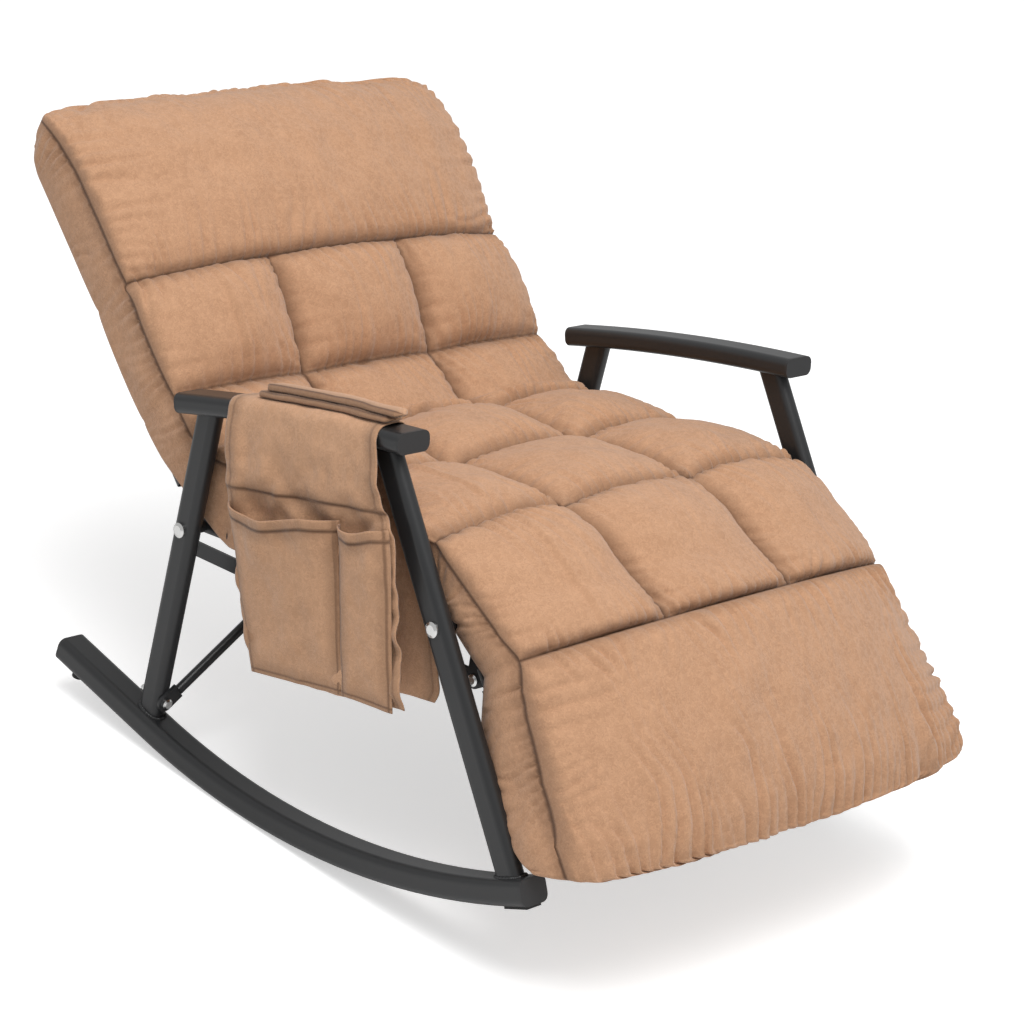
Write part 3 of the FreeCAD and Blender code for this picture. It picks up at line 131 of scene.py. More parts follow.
def set_uv(obj, uv):
    """Give each vertex one UV, in metres of cloth, for every corner that uses it."""
    layer = obj.data.uv_layers.new(name="cloth")
    index = np.empty(len(obj.data.loops), dtype=np.int32)
    obj.data.loops.foreach_get("vertex_index", index)
    layer.data.foreach_set("uv", np.asarray(uv, float)[index].ravel())


def set_weight(obj, name, values):
    """Store one number for each vertex, for a material to read."""
    layer = obj.data.attributes.new(name, "FLOAT", "POINT")
    layer.data.foreach_set("value", np.asarray(values, np.float32))


def assign(obj, material):
    obj.data.materials.clear()
    obj.data.materials.append(material)


def lattice_noise(u, v, seed):
    """Smooth random values over a plane, from a grid of random numbers with cubic fading."""
    rng = np.random.default_rng(seed)
    size = 256
    table = rng.uniform(-1, 1, (size, size))
    iu, iv = np.floor(u).astype(int), np.floor(v).astype(int)
    fu, fv = u - iu, v - iv
    fu, fv = fu * fu * (3 - 2 * fu), fv * fv * (3 - 2 * fv)
    a = table[iu % size, iv % size]
    b = table[(iu + 1) % size, iv % size]
    c = table[iu % size, (iv + 1) % size]
    d = table[(iu + 1) % size, (iv + 1) % size]
    return (a * (1 - fu) + b * fu) * (1 - fv) + (c * (1 - fu) + d * fu) * fv


def gathers(position, distance, wavelength, reach, seed):
    """Puffs across a seam with narrow valleys between them, from -0.7 to 0.3.

    position runs along the seam and distance away from it, both in millimetres. The puffs are
    a rectified cosine of wandering phase, and noise makes some gathers long and others short.
    """
    drift = 1.1 * lattice_noise(position / 48, distance / 70, seed)
    wave = np.abs(np.cos(math.pi * (position / wavelength + drift))) ** 0.75
    side = np.abs(np.cos(math.pi * (position / (wavelength * 0.57) - 1.7 * drift) + seed))
    patchy = 0.62 + 0.55 * lattice_noise(position / 30, distance * 0 + 3.3, seed + 1)
    far = lattice_noise(position / 16, distance * 0 + 8.1, seed + 2)
    length = reach * np.clip(1 + 0.9 * far, 0.35, 2)
    fade = np.exp(-((distance / length) ** 1.4)) * (1 - np.exp(-distance / 2.0))
    short = np.exp(-((distance / (0.4 * length)) ** 2)) * (1 - np.exp(-distance / 1.5))
    return patchy * ((wave - 0.7) * fade + 0.35 * (side - 0.6) * short)


def even_profile(count, half, rise, power):
    """Shares of the half width, from -1 to 1, evenly spaced along a pad's top outline.

    The outline is the curve rise * (1 - share ** power) ** (1 / power).
    """
    share = 1 - np.linspace(0, 1, 4001) ** 3
    height = rise * (1 - share**power) ** (1 / power)
    length = np.concatenate([[0], np.cumsum(np.hypot(half * np.diff(share), np.diff(height)))])
    right = np.interp(np.linspace(0, length[-1], count), length, share)[::-1]
    return np.concatenate([-right[:0:-1], right])


# Quilt

TILE_EDGES = np.array([-1.0, -0.345, 0.345, 1.0])
HALF = 311.0

# Seams between rows as (y, z) at the edge seam, from the head down
SEAM = [
    BACK.at(262, 82),
    BACK.at(115, 82),
    SEAT.at(99, 82),
    SEAT.at(250, 82),
    SEAT.at(426, 82),
    LEG.at(38, 77),
]


def steep(t, power):
    """A pad's height over 0..1: 1 along the middle, falling round to 0 at both ends."""
    u = np.clip(np.abs(2 * t - 1), 0, 1)
    return (1 - u**power) ** (1 / power)


class Stations:
    """Outlines along the quilt, from key outlines, at even steps along the edge seam."""

    def __init__(self, keys, step):
        seam = np.array([k["seam"] for k in keys])
        self.key_run = np.concatenate([[0], np.cumsum(np.hypot(*np.diff(seam, axis=0).T))])
        count = max(int(self.key_run[-1] / step), 8)
        self.run = np.linspace(0, self.key_run[-1], count + 1)
        self.values = {name: self.spread(keys, name) for name in keys[0]}
        up = self["seam"] - self["low"]
        self.depth = np.hypot(up[:, 0], up[:, 1])
        self.up = up / self.depth[:, None]

    def spread(self, keys, name):
        data = np.array([k[name] for k in keys], float)
        if data.ndim == 1:
            return smooth_rows(np.interp(self.run, self.key_run, data), 4)
        columns = [np.interp(self.run, self.key_run, data[:, i]) for i in range(data.shape[1])]
        return smooth_rows(np.stack(columns, axis=1), 4)

    def __getitem__(self, name):
        return self.values[name]


def smooth_rows(values, passes):
    """Average each row with its neighbours, ends held."""
    out = values.copy()
    for _ in range(passes):
        out[1:-1] = out[1:-1] * 0.5 + (out[:-2] + out[2:]) * 0.25
    return out


Row = namedtuple("Row", "start end tiles crown side_power")

# A row of tiles and a plain row: power of the rounding, folds at the row's ends and at its sides
TILE_LOOK = {"round": 2.2, "folds": 14.0, "reach": 26, "side_folds": 6.4, "side_reach": 0.9 * 26}
PLAIN_LOOK = {"round": 3.0, "folds": 16.0, "reach": 34, "side_folds": 10.0, "side_reach": 1.4 * 34}
DENT_DEPTH = 2.3

# At an end that a cap closes, the folds reach further and start from a line behind the cap
END_REACH = 1.7
HIDDEN_START = 22
HIDDEN_END = 12
PAST_END = 1e4

# Distance to a seam of a point that has none near it
FAR = 1e3


def along_row(row, run, end_run):
    """0 to 1 along a row; a row that a cap closes has only the half beside its seam."""
    if row.start < 0:
        t = 0.5 + 0.5 * run / row.end
    elif row.end > end_run + 1:
        t = 0.5 * (run - row.start) / (end_run - row.start)
    else:
        t = (run - row.start) / (row.end - row.start)
    return np.clip(t, 0, 1)


def to_row_ends(row, run, end_run):
    """Distances to a row's two ends; at a cap, to a fold line hidden behind it."""
    from_start = run + HIDDEN_START if row.start < 0 else run - row.start
    to_end = end_run + HIDDEN_END - run if row.end > end_run + 1 else row.end - run
    return np.clip(from_start, 0, None), np.clip(to_end, 0, None)


def row_top(row, number, run, end_run, share, half, puff, seed):
    """One row of the quilt: heights, distance to its seams and how full it is lengthwise.

    A start below 0 or an end past the last outline means that the row is full there and the
    end cap closes it. The height of a tile is its crown times a rounded profile lengthwise
    and another across; the gathers at its four seams and soft dents are added.
    """
    look = TILE_LOOK if row.tiles == 3 else PLAIN_LOOK
    lengthwise = steep(along_row(row, run, end_run), look["round"])
    edges = TILE_EDGES if row.tiles == 3 else np.array([-1.0, 1.0])
    column = np.clip(np.searchsorted(edges, share, side="right") - 1, 0, row.tiles - 1)
    width = edges[column + 1] - edges[column]
    c = np.clip((share - edges[column]) / width, 0, 1)
    first = (column == 0) & (c < 0.5)
    last = (column == row.tiles - 1) & (c >= 0.5)
    outer = (1 - np.abs(share) ** row.side_power) ** (1 / row.side_power)
    sideways = np.where(first | last, outer, steep(c, TILE_LOOK["round"]))
    uneven = 1 + 0.09 * lattice_noise(column * 3.7 + 0.5, number * 5.1 + 0 * run, seed)
    height = lengthwise * sideways * row.crown * uneven * puff

    x = share * half
    d_start, d_end = to_row_ends(row, run, end_run)
    d_low = c * width * half
    d_high = (1 - c) * width * half
    offset = seed + 31 * number
    reach = look["reach"]
    end_reach = END_REACH * reach if row.end > end_run + 1 else reach
    folds = look["folds"] * gathers(x + 41 * column, d_start, 18, reach, offset + 1)
    folds = folds + look["folds"] * gathers(x + 67 * column, d_end, 17, end_reach, offset + 7)
    sides = gathers(run, d_low, 19, look["side_reach"], offset + 13)
    sides = sides + gathers(run + 23, d_high, 19, look["side_reach"], offset + 19)
    folds = folds + look["side_folds"] * sides
    dents = lattice_noise(x / 47 + number * 9, run / 38, offset + 50)
    dents = dents + 0.45 * lattice_noise(x / 18, run / 20 + number * 5, offset + 51)
    dents = dents + 0.16 * lattice_noise(x / 7, run / 8 + number * 5, offset + 52)
    if row.tiles == 1:
        dents = dents + 0.9 * lattice_noise(x / 36 + run / 160, run / 110, offset + 60)
    height = height + folds + DENT_DEPTH * dents * lengthwise * sideways
    ends = np.minimum(d_start, d_end)
    dividers = np.minimum(np.where(first, FAR, d_low), np.where(last, FAR, d_high))
    return height, np.minimum(ends, dividers), lengthwise


def gusset_levels(st, depth):
    """The side of the pad as (share of the way down, inset, level above the underside).

    The gusset bulges by a sine on its way down. Below it the cloth turns under the frame's
    tube where lip is 1 and comes up again behind it to the underside.
    """
    levels = []
    for k in range(1, GUSSET_STEPS + 1):
        f = k / GUSSET_STEPS
        inset = st["tuck"] * f**2 - st["belly"] * math.sin(math.pi * f) ** 0.8
        levels.append((f, inset, depth * (1 - f) + 5 * f))
    lip, under, floor = st["lip"], st["tuck"], st["floor"]
    level = np.zeros_like(depth)
    inner = under + 3.0 - 1.2 * lip
    turned_under = [
        (under + 1.5, level + 1.5),
        (under + 5, level),
        (under + 6 + 13 * lip, level),
        (under + 7 + 15 * lip, level + 1.3),
        (under + 6 + 13 * lip, level + 2.6),
        (inner + 1.5 * (1 - lip), level + 3.0),
        (inner, floor * 0.5 + 1.5),
        (inner + 0.5, floor - 0.6),
        (inner + 4, floor),
    ]
    return levels + [(None, inset, height) for inset, height in turned_under]


class Skin:
    """Points of a closed skin as they are laid, its faces and what its material reads."""

    def __init__(self):
        self.points, self.uv, self.seam, self.edge, self.faces = [], [], [], [], []
        self.count = 0

    def lay(self, points, uv, seam, edge):
        """Add points and return their numbers."""
        self.points.append(points)
        self.uv.append(uv)
        self.seam.append(np.broadcast_to(seam, len(points)))
        self.edge.append(np.broadcast_to(edge, len(points)))
        self.count += len(points)
        return np.arange(self.count - len(points), self.count)

    def finished(self, name):
        obj = new_mesh_object(name, rocked(np.concatenate(self.points)), self.faces)
        set_uv(obj, np.concatenate(self.uv) / 1000)
        # Distances to the seams and to the edge seams: the material draws thread lines there and painted
        # shade beside them
        set_weight(obj, "seam_mm", np.concatenate(self.seam))
        set_weight(obj, "edge_mm", np.concatenate(self.edge))
        return obj


def quilt_top(st, rows, seed, step):
    """The top of the quilt, outline by outline, and its distance to the nearest seam.

    Height over the edge seams is the seam's bow plus the row's own height. Just above the
    edge seam the sides swell out by a sine, and a full tile stands out a little further.
    """
    profile = even_profile(int(HALF / step * TOP_DENSITY), HALF, 50, 4)
    shape = (len(st.run), len(profile))
    share = np.broadcast_to(profile[None, :], shape)
    run = np.broadcast_to(st.run[:, None], shape)
    half = st["half"][:, None]
    puff = st["puff"][:, None]
    height = st["bow"][:, None] * (1 - np.abs(share) ** 2.2)
    seam_distance = np.full(shape, FAR)
    fullness = np.zeros(shape)
    for number, row in enumerate(rows):
        inside = (run >= row.start - 1e-6) & (run <= row.end + 1e-6)
        h, d, full = row_top(row, number, run, st.run[-1], share, half, puff, seed)
        height = np.where(inside, height + h, height)
        seam_distance = np.where(inside, d, seam_distance)
        fullness = np.where(inside, full, fullness)
    rim = np.clip((np.abs(share) - 0.9) / 0.1, 0, 1)
    overhang = np.sin(math.pi * rim**1.5) * fullness * st["over"][:, None]
    scallop = (fullness - 0.6) * st["scallop"][:, None] * np.abs(share) ** 6
    x = share * half + np.sign(share) * (overhang + scallop)
    y = st["seam"][:, None, 0] + st.up[:, None, 0] * height
    z = st["seam"][:, None, 1] + st.up[:, None, 1] * height
    return np.stack([x, y, z], axis=-1), seam_distance


def gusset_folds(st, f, seed, side):
    """Folds of the gusset at a share f of the way down: gathers from both its seams.

    side is a number that makes the left gusset differ from the right one.
    """
    down = f * st.depth
    start = st.run + side
    fold = 8.0 * gathers(start, down, 15, 30, seed + side)
    fold = fold + 6.0 * gathers(start, st.depth - down, 19, 26, seed + side + 5)
    loose = lattice_noise(st.run / 33, down / 40, seed + side + 9)
    return fold + loose * math.sin(math.pi * f) * st["slack"]


def quilt_loops(st, tops, seed):
    """Close each outline: the top, the right gusset, its turned edge, the underside, the left.

    A gusset point lies a signed distance across and a level above the underside. The top
    leans sideways by shift, which fades down the gusset.
    """
    n, top_count = tops.shape[:2]
    levels = gusset_levels(st, st.depth)
    side = len(levels)
    loop = top_count + 2 * side + UNDER_COUNT
    points = np.empty((n, loop, 3))
    edge_x = np.abs(tops[:, -1, 0])
    points[:, :top_count] = tops
    points[:, :top_count, 0] += st["shift"][:, None]
    for k, (f, inset, level) in enumerate(levels):
        for sign, index, number in ((1, top_count + k, 400), (-1, loop - 1 - k, 500)):
            across = edge_x - inset
            lean = 0.0
            if f is not None:
                lean = st["shift"] * (1 - f)
                across = across + gusset_folds(st, f, seed, number)
                across = np.maximum(across, st["clear"] * f)
            points[:, index, 0] = sign * across + lean
            points[:, index, 1] = st["low"][:, 0] + st.up[:, 0] * level
            points[:, index, 2] = st["low"][:, 1] + st.up[:, 1] * level
    right_end = points[:, top_count + side - 1].copy()
    left_end = points[:, loop - side].copy()
    for k in range(UNDER_COUNT):
        f = (k + 1) / (UNDER_COUNT + 1)
        points[:, top_count + side + k] = right_end * (1 - f) + left_end * f
    return points


def close_end(skin, st, points, row, cap, around, edge):
    """Close one end of the quilt by rings that shrink to a point.

    Over a quarter turn t a ring shrinks by the root of cos t and swells out by
    cap * sin(t) ** 0.8. Without a cap the end is flat.
    """
    inward = 1 if row == 0 else -1
    centre = np.array([0.0, *(st["low"][row] + st.up[row] * st.depth[row] * 0.55)])
    outward = st["seam"][row] - st["seam"][row + inward * 3]
    outward = outward / np.hypot(*outward)
    loop = points.shape[1]
    following = np.roll(np.arange(loop), -1)
    turned = slice(None, None, -inward)
    previous = np.arange(loop) + row % len(points) * loop
    rings = CAP_RINGS if cap else FLAT_RINGS
    for r in range(1, rings + 1):
        t = r / (rings + 1)
        shrink = math.cos(t * math.pi / 2) ** 0.5 if cap else 1 - t
        push = math.sin(t * math.pi / 2) ** 0.8 * cap
        ring = centre + (points[row] - centre) * shrink
        ring[:, 1:] += outward * push
        uv = np.stack([around, np.full(loop, st.run[row] - inward * push)], axis=-1)
        current = skin.lay(ring, uv, FAR, edge + 12 * t)
        quads = np.stack([previous, previous[following], current[following], current], axis=-1)
        skin.faces += quads[:, turned].tolist()
        previous = current
    tip = (centre + np.array([0, *(outward * cap)]))[None, :]
    last = skin.lay(tip, np.array([[around[-1] / 2, st.run[row]]]), FAR, FAR)
    fan = np.stack([previous, previous[following], np.full(loop, last[0])], axis=-1)
    skin.faces += fan[:, turned].tolist()


def quilt_piece(name, keys, rows, cap_start, cap_end, seed, step):
    """One closed stretch of the quilt: loops of points, one for each outline, and two caps.

    A loop starts at the left edge seam, crosses the top, and goes down the right gusset,
    round the lip behind the frame tube, along the underside and up on the left.
    """
    st = Stations(keys, step)
    tops, seam_distance = quilt_top(st, rows, seed, step)
    points = quilt_loops(st, tops, seed)
    n, loop = points.shape[:2]
    top_count = tops.shape[1]

    middle = points[n // 2]
    steps = np.linalg.norm(np.diff(middle, axis=0), axis=1)
    around = np.concatenate([[0], np.cumsum(steps)])
    edge = np.minimum(around, np.abs(around - around[top_count - 1]))
    edge = np.minimum(edge, around[-1] - around + 3)
    grid_uv = np.stack(np.broadcast_arrays(around[None, :], st.run[:, None]), axis=-1)
    grid_seam = np.full((n, loop), FAR)
    grid_seam[:, :top_count] = seam_distance

    skin = Skin()
    grid_edge = np.broadcast_to(edge, (n, loop)).ravel()
    skin.lay(points.reshape(-1, 3), grid_uv.reshape(-1, 2), grid_seam.ravel(), grid_edge)
    skin.faces += grid_faces(n, loop, wrap=True)
    close_end(skin, st, points, 0, cap_start, around, edge)
    close_end(skin, st, points, -1, cap_end, around, edge)
    return skin.finished(name)


def key(seam, low, half, bow, lip, floor, **more):
    """A key outline of the quilt.

    seam and low are (y, z) of the edge seam and of the underside. half is the half width at
    the seam, bow how far the seam's middle stands over its ends, lip 1 where the gusset wraps
    round the frame's tube, floor how high the underside lies over low, clear the least half
    width of the gusset, puff a factor of the crown, over the bulge above the edge seam and
    shift how far the top leans to the right.
    """
    values = {"tuck": 4.0, "belly": 1.5, "scallop": 5.0, "slack": 2.0, "clear": 0.0}
    values.update({"puff": 1.0, "over": 2.0, "shift": 0.0}, **more)
    values.update(seam=np.asarray(seam, float), low=np.asarray(low, float))
    values.update(half=half, bow=bow, lip=lip, floor=floor)
    return values


# Points on the gusset, along the underside and for the width of the top, and rings of a cap
GUSSET_STEPS = 18
UNDER_COUNT = 9
TOP_DENSITY = 1.18
CAP_RINGS = 12
FLAT_RINGS = 2

# Least half width of the gusset beside the back's tube and beside the seat tube
TUBE_CLEAR = 306.3
RAIL_CLEAR = 310.0


def build_quilt():
    """The quilt's two stretches, which meet at the seam between the seat's rows."""
    step = 3.3
    on_back = {"slack": 3.0, "clear": TUBE_CLEAR, "belly": 3.0}
    on_seat = {"slack": 1.5, "clear": RAIL_CLEAR, "belly": 1.0, "tuck": 0.5}
    rear_keys = [
        key(BACK.at(491, 61), BACK.at(473, 22), 312, 4, 0.6, 16, puff=0.5, over=4, **on_back),
        key(BACK.at(478, 68), BACK.at(465, 15), 314, 8, 1, 23, puff=0.74, over=5, **on_back),
        key(BACK.at(453, 75), BACK.at(446, 9), 313, 14, 1, 29, puff=0.92, over=6, **on_back),
        key(BACK.at(410, 82), BACK.at(410, 9), 312, 21, 1, 29, over=6, **on_back),
        key(BACK.at(340, 83), BACK.at(340, 9), HALF, 26, 1, 29, over=6, **on_back),
        key(BACK.at(262, 82), BACK.at(262, 9), HALF, 27, 1, 29, **on_back),
        key(BACK.at(190, 82), BACK.at(190, 9), HALF, 12, 1, 29, **on_back),
        key(SEAM[1], BACK.at(115, 9), HALF, 0, 1, 29, **on_back),
        key(BACK.at(60, 82) * 0.5 + SEAT.at(60, 82) * 0.5, BACK.at(62, 18), HALF, 2, 0.3, 20),
        key(SEAM[2], SEAT.at(92, -14.5), HALF, 4, 1, 28.5, **on_seat),
        key(SEAT.at(175, 82), SEAT.at(175, -14.5), HALF, 4, 1, 28.5, **on_seat),
        key(SEAM[3], SEAT.at(249.7, -14.5), HALF, 4, 1, 28.5, **on_seat),
    ]
    r = Stations(rear_keys, step).key_run
    rows = [
        Row(-1, r[5], 1, 40, 3.4),
        Row(r[5], r[7], 3, 42, 3.0),
        Row(r[7], r[9], 3, 38, 3.0),
        Row(r[9], r[11], 3, 39, 3.0),
    ]
    rear = quilt_piece("quilt_back_and_seat", rear_keys, rows, 16, 0, 11, step)

    knee_seam = SEAM[4] * 0.5 + SEAM[5] * 0.5
    knee_low = SEAT.at(SEAT_LENGTH + 24, 13)
    front_keys = [
        key(SEAM[3], SEAT.at(250.3, -14.5), HALF, 4, 1, 28.5, **on_seat),
        key(SEAT.at(340, 82), SEAT.at(340, -14.5), HALF, 4, 1, 28.5, **on_seat),
        key(SEAM[4], SEAT.at(422, -13.5), HALF, 6, 0.8, 27.5, **on_seat),
        key(knee_seam, knee_low, HALF, 22, 0, 4, belly=4.0),
        key(SEAM[5], LEG.at(38, 12), HALF + 1, 34, 0, 12, slack=4.0, belly=5.0),
        key(LEG.at(90, 66), LEG.at(90, -14), HALF + 5, 32, 1, 37, slack=5.0, belly=6.0, over=5, shift=1),
        key(LEG.at(160, 62), LEG.at(160, -24), HALF + 13, 30, 1, 47, slack=6.0, belly=6.0, over=5, shift=4),
        key(LEG.at(215, 60), LEG.at(215, -12), HALF + 22, 26, 1, 38, slack=5.0, belly=4.0, over=5, shift=7),
        key(LEG.at(248, 58), LEG.at(240, 4), HALF + 29, 20, 1, 24, slack=4.0, over=5, shift=9),
        key(LEG.at(268, 56), LEG.at(249, 12), HALF + 29, 14, 0.6, 18, over=3, puff=0.9, shift=9),
    ]
    r = Stations(front_keys, step).key_run
    rows = [
        Row(0, r[2], 3, 39, 3.0),
        Row(r[2], r[4], 3, 41, 3.0),
        Row(r[4], PAST_END, 1, 60, 2.9),
    ]
    front = quilt_piece("quilt_seat_and_leg", front_keys, rows, 0, 13, 23, step)
    return rear, front


# Side bag: one sheet over the left armrest, and two pockets on its outer panel

# Edges of the outer and the inner panel as (height, y)
BAG_REAR_EDGE = ((211, -104), (300, -87), (420, -69), (505, -67))
BAG_FRONT_EDGE = ((204, -345), (405, -331), (433, -315), (512, -303))
INNER_REAR_EDGE = ((214, -110), (300, -84), (490, -75))
INNER_FRONT_EDGE = ((208, -346), (222, -358), (300, -352), (400, -336), (490, -300))

# The sheet's way over the armrest as (x, height), from the outer panel's foot to the inner one's
OVER_ARMREST = (
    (-360.0, 211),
    (-360.5, 300),
    (-360.0, 420),
    (-359.0, 480),
    (-357.5, 503),
    (-354.5, 514),
    (-348, 520.3),
    (-339, 521.3),
    (-321, 521.3),
    (-312, 520.3),
    (-305.5, 514),
    (-303.6, 503),
    (-305.5, 493),
    (-311, 486),
    (-316, 478),
    (-317.4, 465),
    (-317.2, 400),
    (-317.0, 300),
    (-317.0, 213),
)

# y of the seam between the pockets, the sheet's width, and heights and places of hems
BAG_DIVIDER = -252.0
BAG_WIDTH = 236
BAG_FOOT = 208
FLAP_HEM = 422
HEM_STITCH = 9
POCKET_FOOT = 212
POCKET_RIM = 406
POCKET_HEM = 12
POCKET_BACK = -362.6
POCKET_SIDE_STITCH = 4
PANEL_HANGS_FROM = 495
ARMREST_MIDDLE_Y = -153
ARMREST_ARCH = 2700


def armrest_drop(y):
    """How far the arched armrest lies under its middle."""
    return (y - ARMREST_MIDDLE_Y) ** 2 / (2 * ARMREST_ARCH)


def edge_at(edge, height):
    """y of one of the bag's edges at a height, both with level armrests."""
    levels, places = zip(*edge)
    return np.interp(height, levels, places)


def solidify(obj, thickness):
    modifier = obj.modifiers.new("cloth", "SOLIDIFY")
    modifier.thickness = thickness
    modifier.offset = 0


def cloth_grid(name, x, y, z, marks, thickness=0.0016):
    """A sheet from three grids of coordinates, with its own UV in metres and seam marks."""
    points = np.stack([x, y, z], axis=-1)
    rows, columns = x.shape
    obj = new_mesh_object(name, rocked(points.reshape(-1, 3)), grid_faces(rows, columns))
    du = np.linalg.norm(np.diff(points, axis=1), axis=2)
    dv = np.linalg.norm(np.diff(points, axis=0), axis=2)
    u = np.concatenate([np.zeros((rows, 1)), np.cumsum(du, axis=1)], axis=1)
    v = np.concatenate([np.zeros((1, columns)), np.cumsum(dv, axis=0)], axis=0)
    set_uv(obj, np.stack([u, v], axis=-1).reshape(-1, 2) / 1000)
    # The seam marks give thread lines along the hems and stitches, and painted shade beside them
    set_weight(obj, "seam_mm", marks.ravel())
    set_weight(obj, "edge_mm", np.full(rows * columns, FAR))
    solidify(obj, thickness)
    assign(obj, bag_cloth)
    return obj


def build_saddle():
    """The bag's main sheet: a path over the armrest swept along the chair, with soft folds.

    Each panel is pushed out by a cosine of wandering phase, which grows downwards, and by two
    sizes of noise. The flap's hem steps out from the outer panel, and the sheet follows the
    armrest's arch on top.
    """
    path = np.array(OVER_ARMREST)
    length = np.concatenate([[0], np.cumsum(np.hypot(*np.diff(path, axis=0).T))])
    along = np.linspace(0, length[-1], 190)
    path_x = smooth_rows(np.interp(along, length, path[:, 0]), 3)
    path_z = smooth_rows(np.interp(along, length, path[:, 1]), 3)
    outer = along < along[np.argmin(np.abs(path_x + SIDE_PLANE))]
    share = np.linspace(0, 1, 90)
    rear = np.where(outer, edge_at(BAG_REAR_EDGE, path_z), edge_at(INNER_REAR_EDGE, path_z))
    front = np.where(outer, edge_at(BAG_FRONT_EDGE, path_z), edge_at(INNER_FRONT_EDGE, path_z))
    rear, front = smooth_rows(rear, 6), smooth_rows(front, 6)
    y = rear[:, None] + (front - rear)[:, None] * share[None, :]
    x = np.repeat(path_x[:, None], len(share), axis=1)
    z = np.repeat(path_z[:, None], len(share), axis=1)
    hang = np.clip((PANEL_HANGS_FROM - path_z) / 90, 0, 1)[:, None]
    side = np.where(path_x < -SIDE_PLANE, -1.0, 1.0)[:, None]
    # Drape folds fan out downwards from the armrest; a flap's hem stands proud of the panel
    phase = share[None, :] * 9 + 0.9 * lattice_noise(share[None, :] * 4 + 0 * z, z / 90, 71)
    folds = np.cos(phase * 2.1) * hang * (0.8 + 0.7 * lattice_noise(y / 50, z / 80, 72))
    crumple = lattice_noise(y / 26, z / 21, 73) + 0.5 * lattice_noise(y / 11, z / 12, 74)
    reach = np.where(side < 0, 1.0, 0.25)
    x = x + side * reach * (2.2 * folds + 3.0 * crumple * (0.35 + hang))
    hem_height = FLAP_HEM + 4 * (share[None, :] - 0.4) + 1.5 * lattice_noise(y / 60, 0 * z, 75)
    flap = np.clip((z - hem_height) / 3, 0, 1) * np.clip((500 - z) / 30, 0, 1)
    x = x + np.where(side < 0, -2.2 * flap, 0)
    on_armrest = (path_z > 500)[:, None]
    z = z - (1 - hang) * armrest_drop(y) + on_armrest * 0.5 * crumple
    bottom = np.clip(1 - np.abs(z - BAG_FOOT) / 60, 0, 1)
    z = z + bottom * (2 * np.cos(share[None, :] * 7) - 7 * np.clip(share[None, :] - 0.75, 0, 1))
    marks = np.where(side < 0, np.abs(z - hem_height), FAR)
    border = np.minimum(share, 1 - share)[None, :] * BAG_WIDTH
    marks = np.minimum(marks, np.abs(border - HEM_STITCH) + 1.0)
    saddle = cloth_grid("bag_saddle", x, y, z, marks)
    return saddle


def build_pocket(name, rear, front, gape, dip, seed):
    """A patch pocket: it bellies out from its closed sides and gapes at the rim.

    Across, the swell is a rounded profile that is 0 at both sides. Upwards it is a belly that
    fills quickly from the foot plus a gape that grows to the rim, with creases of noise and
    slanting tension folds near the foot.
    """
    v = np.linspace(0, 1, 80)[:, None]
    u = np.linspace(0, 1, 70)[None, :]
    rim = POCKET_RIM - dip * np.sin(math.pi * np.clip(u * 1.25, 0, 1)) ** 1.5 + 4 * (u - 0.5)
    foot = POCKET_FOOT - 7 * np.clip((BAG_DIVIDER - (rear + (front - rear) * u)) / 90, 0, 1)
    z = foot + (rim - foot) * v
    first = np.minimum(edge_at(BAG_REAR_EDGE, z) - 2.5, rear)
    last = np.maximum(edge_at(BAG_FRONT_EDGE, z) + 2.5, front)
    y = first + (last - first) * u
    closed = (1 - np.abs(2 * u - 1) ** 3.2) ** 0.8
    belly = 7.5 * (1 - (1 - v) ** 5) + gape * v**2.4
    creases = 4.2 * lattice_noise(y / 34 + z / 60, z / 40 - y / 70, seed)
    creases = creases + 1.8 * lattice_noise(y / 14, z / 17, seed + 1)
    tension = 2.6 * np.cos((y + 0.9 * z) / 11 + 2 * lattice_noise(y / 40, z / 40, seed + 2))
    tension = tension * np.exp(-(((v - 0.12) / 0.2) ** 2))
    x = POCKET_BACK - closed * np.maximum(belly + (creases + tension) * (0.4 + 0.6 * v), 0.3)
    hem = np.abs((rim - z) - POCKET_HEM)
    from_sides = np.minimum(u, 1 - u) * np.abs(last - first)
    marks = np.minimum(hem, np.abs(from_sides - POCKET_SIDE_STITCH) + 1.0)
    marks = np.minimum(marks, np.abs(z - foot - 5) + 1.0)
    pocket = cloth_grid(name, x, y, z, marks)
    return pocket


